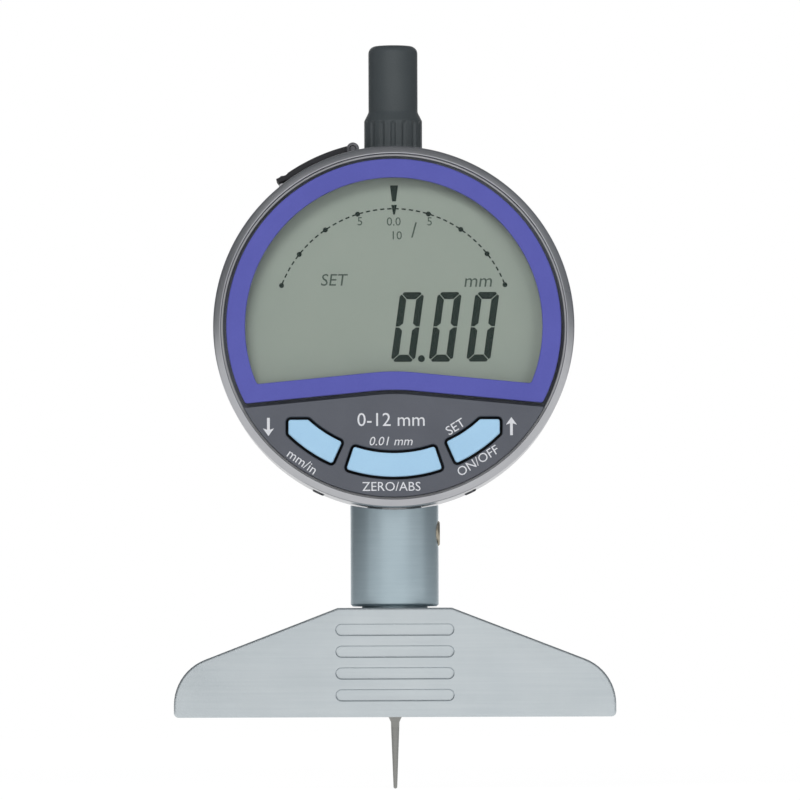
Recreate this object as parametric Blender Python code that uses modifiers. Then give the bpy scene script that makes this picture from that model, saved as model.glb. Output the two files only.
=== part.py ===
"""Depth gauge: a steel measuring base, a column and a round digital indicator with a long needle.

Metres, +Z up. The spindle's axis is the Z axis, the needle's tip at rest is the origin, and the
display faces -Y. Run it with: blender --background --python part.py
"""

from math import asin, atan, atan2, cos, pi, radians, sin, sqrt, tan, tau

import bmesh
import bpy
import numpy as np
from mathutils import Matrix

OBJECT_NAME = "depth_gauge"
MM = 0.001

# Fits and facets that all pieces share
SEAT_GAP = 0.3 * MM
SLIDE_GAP = 0.1 * MM
CUT_OVERRUN = 1.0 * MM
MERGE_DISTANCE = 0.001 * MM
SHARP_ANGLE = radians(35.0)
CASE_STEPS = 60
ROUND_STEPS = 28
SMALL_STEPS = 12
ARC_POINTS = 4

# Base
BASE_LENGTH = 63.5 * MM
BASE_DEPTH = 16.0 * MM
BASE_HEIGHT = 15.7 * MM
BASE_TOP_FLAT = 16.4 * MM
BASE_SIDE_HEIGHT = 6.6 * MM
BASE_SHOULDER_RADIUS = 7.0 * MM
BASE_FOOT_RADIUS = 0.7 * MM
BASE_EDGE_BEVEL = 0.4 * MM
GRIP_SLOT_COUNT = 4
GRIP_SLOT_LENGTH = 17.1 * MM
GRIP_SLOT_WIDTH = 1.75 * MM
GRIP_SLOT_PITCH = 3.13 * MM
GRIP_SLOT_DEPTH = 0.35 * MM
GRIP_SLOT_LOWEST = 3.14 * MM

# Spindle and needle
STROKE = 12.0 * MM
ROD_DIAMETER = 4.0 * MM
ROD_ROOM = 0.6 * MM
ROD_TOP_CHAMFER = 0.3 * MM
NEEDLE_REACH = 10.3 * MM
NEEDLE_TIP_DIAMETER = 0.55 * MM
NEEDLE_ROOT_DIAMETER = 1.25 * MM
NEEDLE_FLARE_DIAMETER = 1.9 * MM
NEEDLE_FLARE_HEIGHT = 0.7 * MM
SHANK_CONE_HEIGHT = 2.0 * MM
SHANK_HEIGHT = 7.7 * MM
STUD_DIAMETER = 2.2 * MM
STUD_LENGTH = 4.0 * MM

# Column, its clamp screw and the stem inside it
COLUMN_DIAMETER = 12.7 * MM
COLUMN_HEIGHT = 13.8 * MM
COLUMN_CHAMFER = 0.3 * MM
SPIGOT_DIAMETER = 9.5 * MM
SPIGOT_LENGTH = 8.0 * MM
STEM_SEAT_RISE = 1.0 * MM
STEM_DIAMETER = 8.0 * MM
STEM_TOP_SETBACK = 0.3 * MM
BUSH_DIAMETER = 6.0 * MM
BUSH_LENGTH = 8.0 * MM
BUSH_FLANGE_WIDTH = 0.8 * MM
BUSH_FLANGE_THICKNESS = 0.8 * MM
CLAMP_SCREW_DIAMETER = 3.75 * MM
CLAMP_SCREW_DROP = 3.3 * MM
CLAMP_SCREW_STAND = 0.2 * MM
CLAMP_SCREW_CHAMFER = 0.25 * MM
HEX_SHARE = 0.5
HEX_TURN = radians(10.0)
HEX_DEPTH = 1.0 * MM

# Case
CASE_DIAMETER = 51.8 * MM
CASE_DEPTH = 24.0 * MM
CASE_WALL = 3.0 * MM
CASE_RIM_WIDTH = 1.1 * MM
CASE_RIM_STAND = 0.1 * MM
CASE_EDGE_RADIUS = 0.8 * MM
BOSS_DEPTH = 4.4 * MM
BOSS_REACH = 11.0 * MM
BOSS_WALL = 1.7 * MM
COVER_BOSS_DIAMETER = 5.2 * MM
COVER_BOSS_SETBACK = 1.9 * MM
COVER_SCREW_ANGLE = radians(38.0)
RAIL_OFFSET = 8.0 * MM
RAIL_DIAMETER = 2.0 * MM
RAIL_SEAT_DEPTH = 2.2 * MM
RIM_SCREW_ANGLE = radians(25.0)
RIM_SCREW_DIAMETER = 1.8 * MM
RIM_SCREW_LENGTH = 2.6 * MM
RIM_SCREW_STAND = 0.25 * MM

# Front plate, display and keys
PLATE_THICKNESS = 1.8 * MM
PLATE_EDGE_BEVEL = 0.2 * MM
FRAME_STAND = 0.4 * MM
FRAME_THICKNESS = 0.6 * MM
FRAME_EDGE_BEVEL = 0.15 * MM
FRAME_MARGIN = 0.5 * MM
FRAME_BORDER = 2.7 * MM
FRAME_LOWER_BORDER = 2.65 * MM
FRAME_APEX_DROP = 9.15 * MM
CHEVRON_SLOPE = radians(5.5)
CHEVRON_RADIUS = 30.0 * MM
GROOVE_WIDTH = 0.6 * MM
WINDOW_THICKNESS = 0.6 * MM
WINDOW_LEDGE_WIDTH = 1.9 * MM
LEDGE_THICKNESS = 0.4 * MM
LCD_OVERLAP = 1.0 * MM
LCD_THICKNESS = 1.1 * MM
KEY_MARGIN = 2.9 * MM
KEY_WIDTH = 3.4 * MM
KEY_GAP = 0.4 * MM
KEY_STAND = 0.3 * MM
KEY_THICKNESS = 1.8 * MM
KEY_EDGE_BEVEL = 0.2 * MM
KEY_TRAVEL = 0.5 * MM
MIDDLE_KEY_ANGLE = radians(18.5)
SIDE_KEY_ANGLE = radians(24.3)
SIDE_KEY_OUTER_ANGLE = radians(44.5)
SIDE_KEY_TOP_ANGLE = radians(42.6)

# Boards and the measuring scale
ZEBRA_THICKNESS = 0.6 * MM
ZEBRA_END_MARGIN = 2.7 * MM
ZEBRA_WIDTH = 1.6 * MM
BOARD_THICKNESS = 0.8 * MM
SENSOR_WIDTH = 10.0 * MM
SENSOR_LENGTH = 24.0 * MM
SENSOR_THICKNESS = 0.5 * MM
STRIP_WIDTH = 7.0 * MM
STRIP_THICKNESS = 0.4 * MM
STRIP_END_ROOM = 2.5 * MM
STRIP_EXTRA_RISE = 1.0 * MM
CARRIER_HEIGHT = 4.0 * MM
CARRIER_WALL = 1.6 * MM
CARRIER_ARM_DEPTH = 4.0 * MM
CARRIER_SCREW_DIAMETER = 1.4 * MM
COLLAR_DIAMETER = 6.6 * MM
COLLAR_HEIGHT = 2.0 * MM
SPRING_WIRE = 0.5 * MM
SPRING_ROOM = 0.4 * MM
SPRING_TURNS = 9
TURN_POINTS = 8

# Back cover and battery
COVER_THICKNESS = 1.8 * MM
COVER_EDGE_RADIUS = 0.8 * MM
COVER_RIM_STEP = 0.1 * MM
COVER_SCREW_HEAD = 3.8 * MM
COVER_SCREW_DIAMETER = 2.0 * MM
COVER_SCREW_LENGTH = 7.4 * MM
COVER_SCREW_SLOT = 0.5 * MM
CELL_DIAMETER = 20.0 * MM
CELL_THICKNESS = 3.2 * MM
CONTACT_THICKNESS = 0.3 * MM
CONTACT_WIDTH = 5.0 * MM
HOLDER_WALL = 1.2 * MM
HOLDER_FLOOR = 0.8 * MM
LID_DIAMETER = 24.8 * MM
LID_NECK_DIAMETER = 20.8 * MM
LID_THICKNESS = 1.6 * MM
LID_FLANGE_THICKNESS = 0.7 * MM
LID_SETBACK = 0.1 * MM
LID_SLOT_LENGTH = 14.0 * MM
LID_SLOT_WIDTH = 1.8 * MM
LID_SLOT_DEPTH = 0.8 * MM
SEAL_THICKNESS = 0.8 * MM

# Output connector and its cover
SOCKET_DISTANCE = 6.9 * MM
SOCKET_LENGTH = 9.0 * MM
SOCKET_WIDTH = 4.6 * MM
SOCKET_HEIGHT = 3.6 * MM
SOCKET_SLOT_LENGTH = 7.4 * MM
SOCKET_SLOT_WIDTH = 1.6 * MM
SOCKET_SLOT_DEPTH = 2.0 * MM
HINGE_OFFSET = 5.8 * MM
HINGE_STAND = 0.55 * MM
HINGE_PIN_DIAMETER = 0.8 * MM
KNUCKLE_DIAMETER = 1.8 * MM
DOOR_WIDTH = 10.4 * MM
DOOR_THICKNESS = 0.9 * MM
DOOR_LENGTH = 11.5 * MM
TAB_LENGTH = 1.2 * MM
TAB_LIFT = 0.45 * MM
TAB_NOTCH_DEPTH = 0.5 * MM
EAR_WIDTH = 1.0 * MM

# Cap
CAP_HEIGHT = 14.8 * MM
CAP_DIAMETER = 7.1 * MM
CAP_SKIRT_DIAMETER = 8.4 * MM
CAP_SKIRT_HEIGHT = 3.9 * MM
CAP_FLARE_HEIGHT = 1.3 * MM
CAP_TOP_THICKNESS = 1.1 * MM
CAP_TOP_RADIUS = 1.1 * MM
CAP_ROOM = 0.45 * MM
CAP_NECK_RISE = 3.7 * MM
FLUTE_COUNT = 16
FLUTE_DIAMETER = 0.7 * MM
FLUTE_DEPTH = 0.25 * MM

# Radii that several pieces share
ROD_RADIUS = ROD_DIAMETER / 2
STEM_RADIUS = STEM_DIAMETER / 2
BUSH_RADIUS = BUSH_DIAMETER / 2
CASE_RADIUS = CASE_DIAMETER / 2
CASE_INNER_RADIUS = CASE_RADIUS - CASE_WALL
CASE_LIP_RADIUS = CASE_RADIUS - CASE_RIM_WIDTH
PLATE_RADIUS = CASE_LIP_RADIUS - SEAT_GAP
FRAME_RADIUS = PLATE_RADIUS - FRAME_MARGIN
DISPLAY_RADIUS = FRAME_RADIUS - FRAME_BORDER
DISPLAY_APEX_DROP = FRAME_APEX_DROP - FRAME_LOWER_BORDER
KEY_OUTER_RADIUS = PLATE_RADIUS - KEY_MARGIN
KEY_INNER_RADIUS = KEY_OUTER_RADIUS - KEY_WIDTH
SIDE_KEY_REACH = KEY_OUTER_RADIUS * sin(SIDE_KEY_OUTER_ANGLE)
SIDE_KEY_TOP_DROP = KEY_INNER_RADIUS * cos(SIDE_KEY_TOP_ANGLE)
COVER_RADIUS = CASE_RADIUS - COVER_RIM_STEP
HINGE_RADIUS = CASE_RADIUS + HINGE_STAND
HINGE_ANGLE = asin(HINGE_OFFSET / HINGE_RADIUS)
SOCKET_ANGLE = HINGE_ANGLE + SOCKET_DISTANCE / CASE_RADIUS
DOOR_END_ANGLE = HINGE_ANGLE + DOOR_LENGTH / CASE_RADIUS
LID_RADIUS = LID_DIAMETER / 2
LID_NECK_RADIUS = LID_NECK_DIAMETER / 2

# Heights above the needle's tip
BASE_BOTTOM = NEEDLE_REACH
BASE_TOP = BASE_BOTTOM + BASE_HEIGHT
COLUMN_BOTTOM = BASE_TOP + SEAT_GAP
COLUMN_TOP = COLUMN_BOTTOM + COLUMN_HEIGHT
SPIGOT_BOTTOM = COLUMN_BOTTOM - SPIGOT_LENGTH
STEM_SEAT = BASE_TOP + STEM_SEAT_RISE
STEM_BUSH_BOTTOM = STEM_SEAT + SEAT_GAP
STEM_BOTTOM = STEM_BUSH_BOTTOM + BUSH_FLANGE_THICKNESS + SEAT_GAP
CASE_CENTRE = COLUMN_TOP + SEAT_GAP + CASE_RADIUS
CASE_TOP = CASE_CENTRE + CASE_RADIUS
LOWER_BOSS_TOP = CASE_CENTRE - CASE_INNER_RADIUS + BOSS_DEPTH
UPPER_BOSS_BOTTOM = CASE_CENTRE + CASE_INNER_RADIUS - BOSS_DEPTH
STEM_TOP = LOWER_BOSS_TOP - STEM_TOP_SETBACK
SHANK_TOP = SHANK_HEIGHT + SHANK_CONE_HEIGHT + NEEDLE_REACH
STUD_TOP = SHANK_TOP + STUD_LENGTH
CAP_BOTTOM = CASE_TOP + SEAT_GAP
CAP_TOP = CAP_BOTTOM + CAP_HEIGHT
ROD_TOP = CAP_TOP - CAP_TOP_THICKNESS - SEAT_GAP - STROKE
NECK_TOP = CAP_BOTTOM + CAP_NECK_RISE
UPPER_FLANGE_TOP = UPPER_BOSS_BOTTOM - SEAT_GAP
UPPER_FLANGE_BOTTOM = UPPER_FLANGE_TOP - BUSH_FLANGE_THICKNESS
COLLAR_BOTTOM = LOWER_BOSS_TOP + SEAT_GAP
CARRIER_RISE = (UPPER_BOSS_BOTTOM - LOWER_BOSS_TOP - STROKE - CARRIER_HEIGHT) / 2
CARRIER_BOTTOM = LOWER_BOSS_TOP + CARRIER_RISE
CARRIER_TOP = CARRIER_BOTTOM + CARRIER_HEIGHT
STRIP_DROP = CARRIER_RISE - STRIP_END_ROOM
STRIP_RISE = STRIP_DROP + STRIP_EXTRA_RISE

# Levels in front of the spindle's axis, from the display's face inwards
FRAME_FRONT = CASE_DEPTH / 2
FRAME_BACK = FRAME_FRONT - FRAME_THICKNESS
PLATE_FRONT = FRAME_FRONT - FRAME_STAND
PLATE_BACK = PLATE_FRONT - PLATE_THICKNESS
RIM_FRONT = PLATE_FRONT + CASE_RIM_STAND
WINDOW_FRONT = FRAME_BACK - SEAT_GAP
WINDOW_BACK = WINDOW_FRONT - WINDOW_THICKNESS
LEDGE_FRONT = PLATE_BACK + LEDGE_THICKNESS
LCD_FRONT = PLATE_BACK - SEAT_GAP
LCD_BACK = LCD_FRONT - LCD_THICKNESS
ZEBRA_FRONT = LCD_BACK - SEAT_GAP
ZEBRA_BACK = ZEBRA_FRONT - ZEBRA_THICKNESS
BOARD_FRONT = ZEBRA_BACK - SEAT_GAP
BOARD_BACK = BOARD_FRONT - BOARD_THICKNESS
SENSOR_FRONT = BOARD_BACK - SEAT_GAP
SENSOR_BACK = SENSOR_FRONT - SENSOR_THICKNESS
STRIP_FRONT = SENSOR_BACK - SEAT_GAP
STRIP_BACK = STRIP_FRONT - STRIP_THICKNESS
CARRIER_FRONT = STRIP_BACK - SEAT_GAP
KEY_FRONT = PLATE_FRONT + KEY_STAND
KEY_BACK = KEY_FRONT - KEY_THICKNESS

# Levels behind the spindle's axis, from the back inwards
COVER_BACK = -CASE_DEPTH / 2
COVER_FRONT = COVER_BACK + COVER_THICKNESS
CASE_BACK = COVER_FRONT + SEAT_GAP
LID_BACK = COVER_BACK + LID_SETBACK
LID_FLANGE_FRONT = LID_BACK + LID_FLANGE_THICKNESS
LID_FRONT = LID_BACK + LID_THICKNESS
SEAL_MIDDLE = LID_FLANGE_FRONT + SEAT_GAP + SEAL_THICKNESS / 2
CELL_BACK = LID_FRONT + SEAT_GAP
CELL_FRONT = CELL_BACK + CELL_THICKNESS
CONTACT_BACK = CELL_FRONT + SEAT_GAP
CONTACT_FRONT = CONTACT_BACK + CONTACT_THICKNESS
HOLDER_FLOOR_BACK = CONTACT_FRONT + SEAT_GAP
HOLDER_FRONT = HOLDER_FLOOR_BACK + HOLDER_FLOOR
HOLDER_BACK = SEAL_MIDDLE + SEAL_THICKNESS / 2 + SEAT_GAP

# Finishes: colour, metallic and roughness
STEEL = ((0.52, 0.55, 0.57), 1.0, 0.34)
BLUED_STEEL = ((0.36, 0.43, 0.47), 1.0, 0.3)
BRIGHT_METAL = ((0.62, 0.63, 0.65), 1.0, 0.22)
DARK_METAL = ((0.06, 0.06, 0.065), 1.0, 0.4)
BRASS = ((0.55, 0.45, 0.28), 1.0, 0.35)
GREY_PLASTIC = ((0.118, 0.124, 0.165), 0.0, 0.5)
BLUE_PLASTIC = ((0.119, 0.130, 0.423), 0.0, 0.4)
KEY_PLASTIC = ((0.402, 0.610, 0.800), 0.0, 0.45)
CHARCOAL_PLASTIC = ((0.075, 0.082, 0.085), 0.0, 0.5)
BLACK_PLASTIC = ((0.025, 0.026, 0.028), 0.0, 0.5)
RUBBER = ((0.03, 0.03, 0.03), 0.0, 0.8)
CLEAR = ((0.85, 0.88, 0.86), 0.0, 0.05)
LCD_GREEN = ((0.30, 0.35, 0.29), 0.0, 0.3)
BOARD_GREEN = ((0.02, 0.16, 0.06), 0.0, 0.5)


def clear_scene():
    """Removes every object of the scene that the script starts in."""
    for obj in list(bpy.data.objects):
        bpy.data.objects.remove(obj, do_unlink=True)


def collection(name):
    """The scene's collection of this name, made when it is first asked for."""
    found = bpy.data.collections.get(name)
    if found is None:
        found = bpy.data.collections.new(name)
        bpy.context.scene.collection.children.link(found)
    return found


def dressed(obj, finish):
    """Gives a sub-part its own material and puts it in the object's collection."""
    colour, metallic, roughness = finish
    material = bpy.data.materials.new(obj.name)
    material.use_nodes = True
    shader = material.node_tree.nodes["Principled BSDF"]
    shader.inputs["Base Color"].default_value = (*colour, 1.0)
    shader.inputs["Metallic"].default_value = metallic
    shader.inputs["Roughness"].default_value = roughness
    obj.data.materials.append(material)
    collection(OBJECT_NAME).objects.link(obj)
    return obj


def helper(obj):
    """Puts a cutter, or a shape that is only joined to another, among the cutters."""
    obj.hide_render = True
    obj.display_type = "WIRE"
    collection("cutters").objects.link(obj)
    return obj


def boolean(target, other, operation="DIFFERENCE"):
    """Adds a Boolean modifier that cuts, joins or trims the target with another object."""
    step = target.modifiers.new(other.name, "BOOLEAN")
    step.operation = operation
    step.object = other


def bevel(obj, width, segments=1):
    """Adds a Bevel modifier on the object's sharp edges."""
    step = obj.modifiers.new("edges", "BEVEL")
    step.width = width
    step.segments = segments
    step.limit_method = "ANGLE"
    step.angle_limit = SHARP_ANGLE


def placed(name, mesh, place=(0, 0, 0), turn=(0, 0, 0), parent=None):
    """An object of this mesh, not yet in a collection."""
    obj = bpy.data.objects.new(name, mesh)
    obj.location = place
    obj.rotation_euler = turn
    obj.parent = parent
    return obj


def box_mesh(name, width, depth, height):
    """A box about the origin."""
    shape = bmesh.new()
    bmesh.ops.create_cube(shape, size=1.0)
    bmesh.ops.scale(shape, vec=(width, depth, height), verts=shape.verts)
    mesh = bpy.data.meshes.new(name)
    shape.to_mesh(mesh)
    shape.free()
    return mesh


def cylinder_mesh(name, radius, low, high, steps=SMALL_STEPS, centres=((0, 0),), phase=0):
    """Upright cylinders between two heights, one about each centre, turned on its axis by `phase`."""
    shape = bmesh.new()
    for x, y in centres:
        made = bmesh.ops.create_cone(
            shape,
            cap_ends=True,
            segments=steps,
            radius1=radius,
            radius2=radius,
            depth=high - low,
            matrix=Matrix.Rotation(phase, 4, "Z"),
        )
        bmesh.ops.translate(shape, vec=(x, y, (low + high) / 2), verts=made["verts"])
    mesh = bpy.data.meshes.new(name)
    shape.to_mesh(mesh)
    shape.free()
    return mesh


def turned(name, profile, steps=ROUND_STEPS, ring=False, **where):
    """A solid turned about its Z axis from (radius, height) points that run down its outer side."""
    mesh = bpy.data.meshes.new(name)
    edges = [(index, index + 1) for index in range(len(profile) - 1)]
    if ring:
        edges.append((len(profile) - 1, 0))
    mesh.from_pydata([(radius, 0, height) for radius, height in profile], edges, [])
    obj = placed(name, mesh, **where)
    step = obj.modifiers.new("turn", "SCREW")
    step.steps = steps
    step.render_steps = steps
    step.use_merge_vertices = True
    step.merge_threshold = MERGE_DISTANCE
    return obj


def slab_mesh(name, outlines, low, high):
    """A plate between two heights. The first outline is its edge and any others are holes."""
    curve = bpy.data.curves.new(name, "CURVE")
    curve.dimensions = "2D"
    curve.fill_mode = "BOTH"
    curve.extrude = (high - low) / 2
    for outline in outlines:
        spline = curve.splines.new("POLY")
        spline.points.add(len(outline) - 1)
        for point, (x, y) in zip(spline.points, outline):
            point.co = (x, y, 0, 1)
        spline.use_cyclic_u = True
    guide = bpy.data.objects.new(name, curve)
    bpy.context.scene.collection.objects.link(guide)
    graph = bpy.context.evaluated_depsgraph_get()
    mesh = bpy.data.meshes.new_from_object(guide.evaluated_get(graph))
    bpy.data.objects.remove(guide)
    bpy.data.curves.remove(curve)
    shape = bmesh.new()
    shape.from_mesh(mesh)
    bmesh.ops.remove_doubles(shape, verts=shape.verts, dist=MERGE_DISTANCE)
    bmesh.ops.recalc_face_normals(shape, faces=shape.faces)
    bmesh.ops.translate(shape, vec=(0, 0, (low + high) / 2), verts=shape.verts)
    shape.to_mesh(mesh)
    shape.free()
    return mesh


def arc(centre, radius, start, end, points=ARC_POINTS):
    """Points on a circle from one angle to another, both ends included."""
    angles = np.linspace(start, end, points)
    return [(centre[0] + radius * cos(a), centre[1] + radius * sin(a)) for a in angles]


def polar(radius, angle):
    """The point at this radius, with the angle counted from straight up towards the right."""
    return radius * sin(angle), radius * cos(angle)


def settle_all():
    """Replaces modifiers by the meshes that they make, shaded smooth up to the sharp angle."""
    graph = bpy.context.evaluated_depsgraph_get()
    parts = [obj for obj in collection(OBJECT_NAME).objects if obj.type == "MESH"]
    meshes = [bpy.data.meshes.new_from_object(part.evaluated_get(graph)) for part in parts]
    for part, mesh in zip(parts, meshes):
        part.modifiers.clear()
        part.data = mesh
        mesh.shade_smooth()
        mesh.set_sharp_from_angle(angle=SHARP_ANGLE)


def base_outline():
    """The base seen from the front: flat top, straight slopes, round shoulders and small feet."""
    half = BASE_LENGTH / 2
    slope = atan((BASE_HEIGHT - BASE_SIDE_HEIGHT) / (half - BASE_TOP_FLAT / 2))
    turn = pi / 2 - slope
    tangent = BASE_SHOULDER_RADIUS * tan(turn / 2)
    shoulder = (half - BASE_SHOULDER_RADIUS, BASE_BOTTOM + BASE_SIDE_HEIGHT - tangent)
    foot = (half - BASE_FOOT_RADIUS, BASE_BOTTOM + BASE_FOOT_RADIUS)
    right = arc(foot, BASE_FOOT_RADIUS, -pi / 2, 0)
    right += arc(shoulder, BASE_SHOULDER_RADIUS, 0, turn, 2 * ARC_POINTS)
    right.append((BASE_TOP_FLAT / 2, BASE_TOP))
    return right + [(-x, z) for x, z in reversed(right)]


def slot_outline(length, width):
    """A slot with round ends about the origin."""
    reach = (length - width) / 2
    ends = arc((reach, 0), width / 2, -pi / 2, pi / 2)
    return ends + arc((-reach, 0), width / 2, pi / 2, 3 * pi / 2)


def make_base():
    """The measuring base, with the needle's bore, the column's seat and grip slots on both faces."""
    upright = (pi / 2, 0, 0)
    mesh = slab_mesh("base_beam", [base_outline()], -BASE_DEPTH / 2, BASE_DEPTH / 2)
    base = dressed(placed("base_beam", mesh, turn=upright), STEEL)
    bevel(base, BASE_EDGE_BEVEL)
    seat = turned(
        "base_bore",
        [
            (0, BASE_TOP + CUT_OVERRUN),
            (SPIGOT_DIAMETER / 2 + SEAT_GAP, BASE_TOP + CUT_OVERRUN),
            (SPIGOT_DIAMETER / 2 + SEAT_GAP, SPIGOT_BOTTOM - SEAT_GAP),
            (ROD_RADIUS + ROD_ROOM, SPIGOT_BOTTOM - SEAT_GAP),
            (ROD_RADIUS + ROD_ROOM, BASE_BOTTOM - CUT_OVERRUN),
            (0, BASE_BOTTOM - CUT_OVERRUN),
        ],
    )
    boolean(base, helper(seat))
    outline = slot_outline(GRIP_SLOT_LENGTH, GRIP_SLOT_WIDTH)
    low = BASE_DEPTH / 2 - GRIP_SLOT_DEPTH
    slot = slab_mesh("grip_slot", [outline], low, BASE_DEPTH / 2 + CUT_OVERRUN)
    for index in range(GRIP_SLOT_COUNT):
        height = BASE_BOTTOM + GRIP_SLOT_LOWEST + index * GRIP_SLOT_PITCH
        for side, turn in (("front", 0), ("back", pi)):
            name = f"grip_slot_{side}_{index + 1}"
            boolean(base, helper(placed(name, slot, (0, 0, height), (pi / 2, 0, turn))))


def make_column():
    """The column, with a spigot for the base, a bore for the stem and a hollow top under the case."""
    outer = COLUMN_DIAMETER / 2
    bore = STEM_RADIUS + SEAT_GAP
    cradle = CASE_RADIUS + SEAT_GAP
    top = CASE_CENTRE - sqrt(cradle**2 - outer**2) + CUT_OVERRUN
    column = turned(
        "column",
        [
            (bore, top),
            (outer, top),
            (outer, COLUMN_BOTTOM + COLUMN_CHAMFER),
            (outer - COLUMN_CHAMFER, COLUMN_BOTTOM),
            (SPIGOT_DIAMETER / 2, COLUMN_BOTTOM),
            (SPIGOT_DIAMETER / 2, SPIGOT_BOTTOM),
            (ROD_RADIUS + ROD_ROOM, SPIGOT_BOTTOM),
            (ROD_RADIUS + ROD_ROOM, STEM_SEAT),
            (bore, STEM_SEAT),
        ],
        ring=True,
    )
    dressed(column, BLUED_STEEL)
    reach = outer + CUT_OVERRUN
    hollow = cylinder_mesh("column_cradle", cradle, -reach, reach, CASE_STEPS)
    boolean(column, helper(placed("column_cradle", hollow, (0, 0, CASE_CENTRE), (pi / 2, 0, 0))))
    height = COLUMN_TOP - CLAMP_SCREW_DROP
    hole = cylinder_mesh("clamp_hole", CLAMP_SCREW_DIAMETER / 2 + SEAT_GAP, 0, outer + CUT_OVERRUN)
    sideways = {"place": (0, 0, height), "turn": (0, pi / 2, 0)}
    boolean(column, helper(placed("clamp_hole", hole, **sideways)))
    make_set_screw(
        "column_clamp_screw",
        CLAMP_SCREW_DIAMETER / 2,
        STEM_RADIUS + SEAT_GAP,
        outer + CLAMP_SCREW_STAND,
        BRASS,
        **sideways,
    )


def make_set_screw(name, radius, inner, outer, finish, **where):
    """A set screw between two distances along its own Z axis, with a hexagon socket at the outer end."""
    chamfer = min(CLAMP_SCREW_CHAMFER, radius / 4)
    profile = [(0, outer), (radius - chamfer, outer), (radius, outer - chamfer), (radius, inner), (0, inner)]
    screw = dressed(turned(name, profile, steps=SMALL_STEPS, **where), finish)
    hexagon = radius * HEX_SHARE
    depth = min(HEX_DEPTH, (outer - inner) / 2)
    top = outer + CUT_OVERRUN
    socket = cylinder_mesh(name + "_socket", hexagon, outer - depth, top, 6, phase=HEX_TURN)
    boolean(screw, helper(placed(name + "_socket", socket, **where)))


def make_spindle():
    """The spindle rod and the needle screwed into its lower end."""
    rod = turned(
        "spindle_rod",
        [
            (0, ROD_TOP),
            (ROD_RADIUS - ROD_TOP_CHAMFER, ROD_TOP),
            (ROD_RADIUS, ROD_TOP - ROD_TOP_CHAMFER),
            (ROD_RADIUS, SHANK_TOP + SEAT_GAP),
            (STUD_DIAMETER / 2 + SEAT_GAP, SHANK_TOP + SEAT_GAP),
            (STUD_DIAMETER / 2 + SEAT_GAP, STUD_TOP + SEAT_GAP),
            (0, STUD_TOP + SEAT_GAP),
        ],
    )
    dressed(rod, STEEL)
    tip = NEEDLE_TIP_DIAMETER / 2
    root_height = BASE_BOTTOM - NEEDLE_FLARE_HEIGHT
    tip_arc = arc((0, tip), tip, 0, -pi / 2)
    needle = turned(
        "contact_needle",
        [
            (0, STUD_TOP),
            (STUD_DIAMETER / 2, STUD_TOP),
            (STUD_DIAMETER / 2, SHANK_TOP),
            (ROD_RADIUS, SHANK_TOP),
            (ROD_RADIUS, BASE_BOTTOM + SHANK_CONE_HEIGHT),
            (NEEDLE_FLARE_DIAMETER / 2, BASE_BOTTOM),
            (NEEDLE_ROOT_DIAMETER / 2, root_height),
            *tip_arc[:-1],
            (0, 0),
        ],
    )
    dressed(needle, STEEL)


def make_stem():
    """The indicator's stem and the flanged bush in its lower end."""
    bush_hole = BUSH_RADIUS + SEAT_GAP
    bush_top = STEM_BOTTOM + BUSH_LENGTH
    stem = turned(
        "indicator_stem",
        [
            (ROD_RADIUS + ROD_ROOM, STEM_TOP),
            (STEM_RADIUS, STEM_TOP),
            (STEM_RADIUS, STEM_BOTTOM),
            (bush_hole, STEM_BOTTOM),
            (bush_hole, bush_top + SEAT_GAP),
            (ROD_RADIUS + ROD_ROOM, bush_top + SEAT_GAP),
        ],
        ring=True,
    )
    dressed(stem, BRIGHT_METAL)
    flange = BUSH_RADIUS + BUSH_FLANGE_WIDTH
    flange_top = STEM_BUSH_BOTTOM + BUSH_FLANGE_THICKNESS
    bush = turned(
        "stem_bush",
        [
            (ROD_RADIUS + SLIDE_GAP, bush_top),
            (BUSH_RADIUS, bush_top),
            (BUSH_RADIUS, flange_top),
            (flange, flange_top),
            (flange, STEM_BUSH_BOTTOM),
            (ROD_RADIUS + SLIDE_GAP, STEM_BUSH_BOTTOM),
        ],
        ring=True,
    )
    dressed(bush, BRASS)


def make_upper_bush():
    """The upper bush: its flange takes the spring, and its neck carries the cap."""
    flange = BUSH_RADIUS + BUSH_FLANGE_WIDTH
    bush = turned(
        "upper_bush",
        [
            (ROD_RADIUS + SLIDE_GAP, NECK_TOP),
            (BUSH_RADIUS, NECK_TOP),
            (BUSH_RADIUS, UPPER_FLANGE_TOP),
            (flange, UPPER_FLANGE_TOP),
            (flange, UPPER_FLANGE_BOTTOM),
            (ROD_RADIUS + SLIDE_GAP, UPPER_FLANGE_BOTTOM),
        ],
        ring=True,
    )
    dressed(bush, BRASS)


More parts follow.
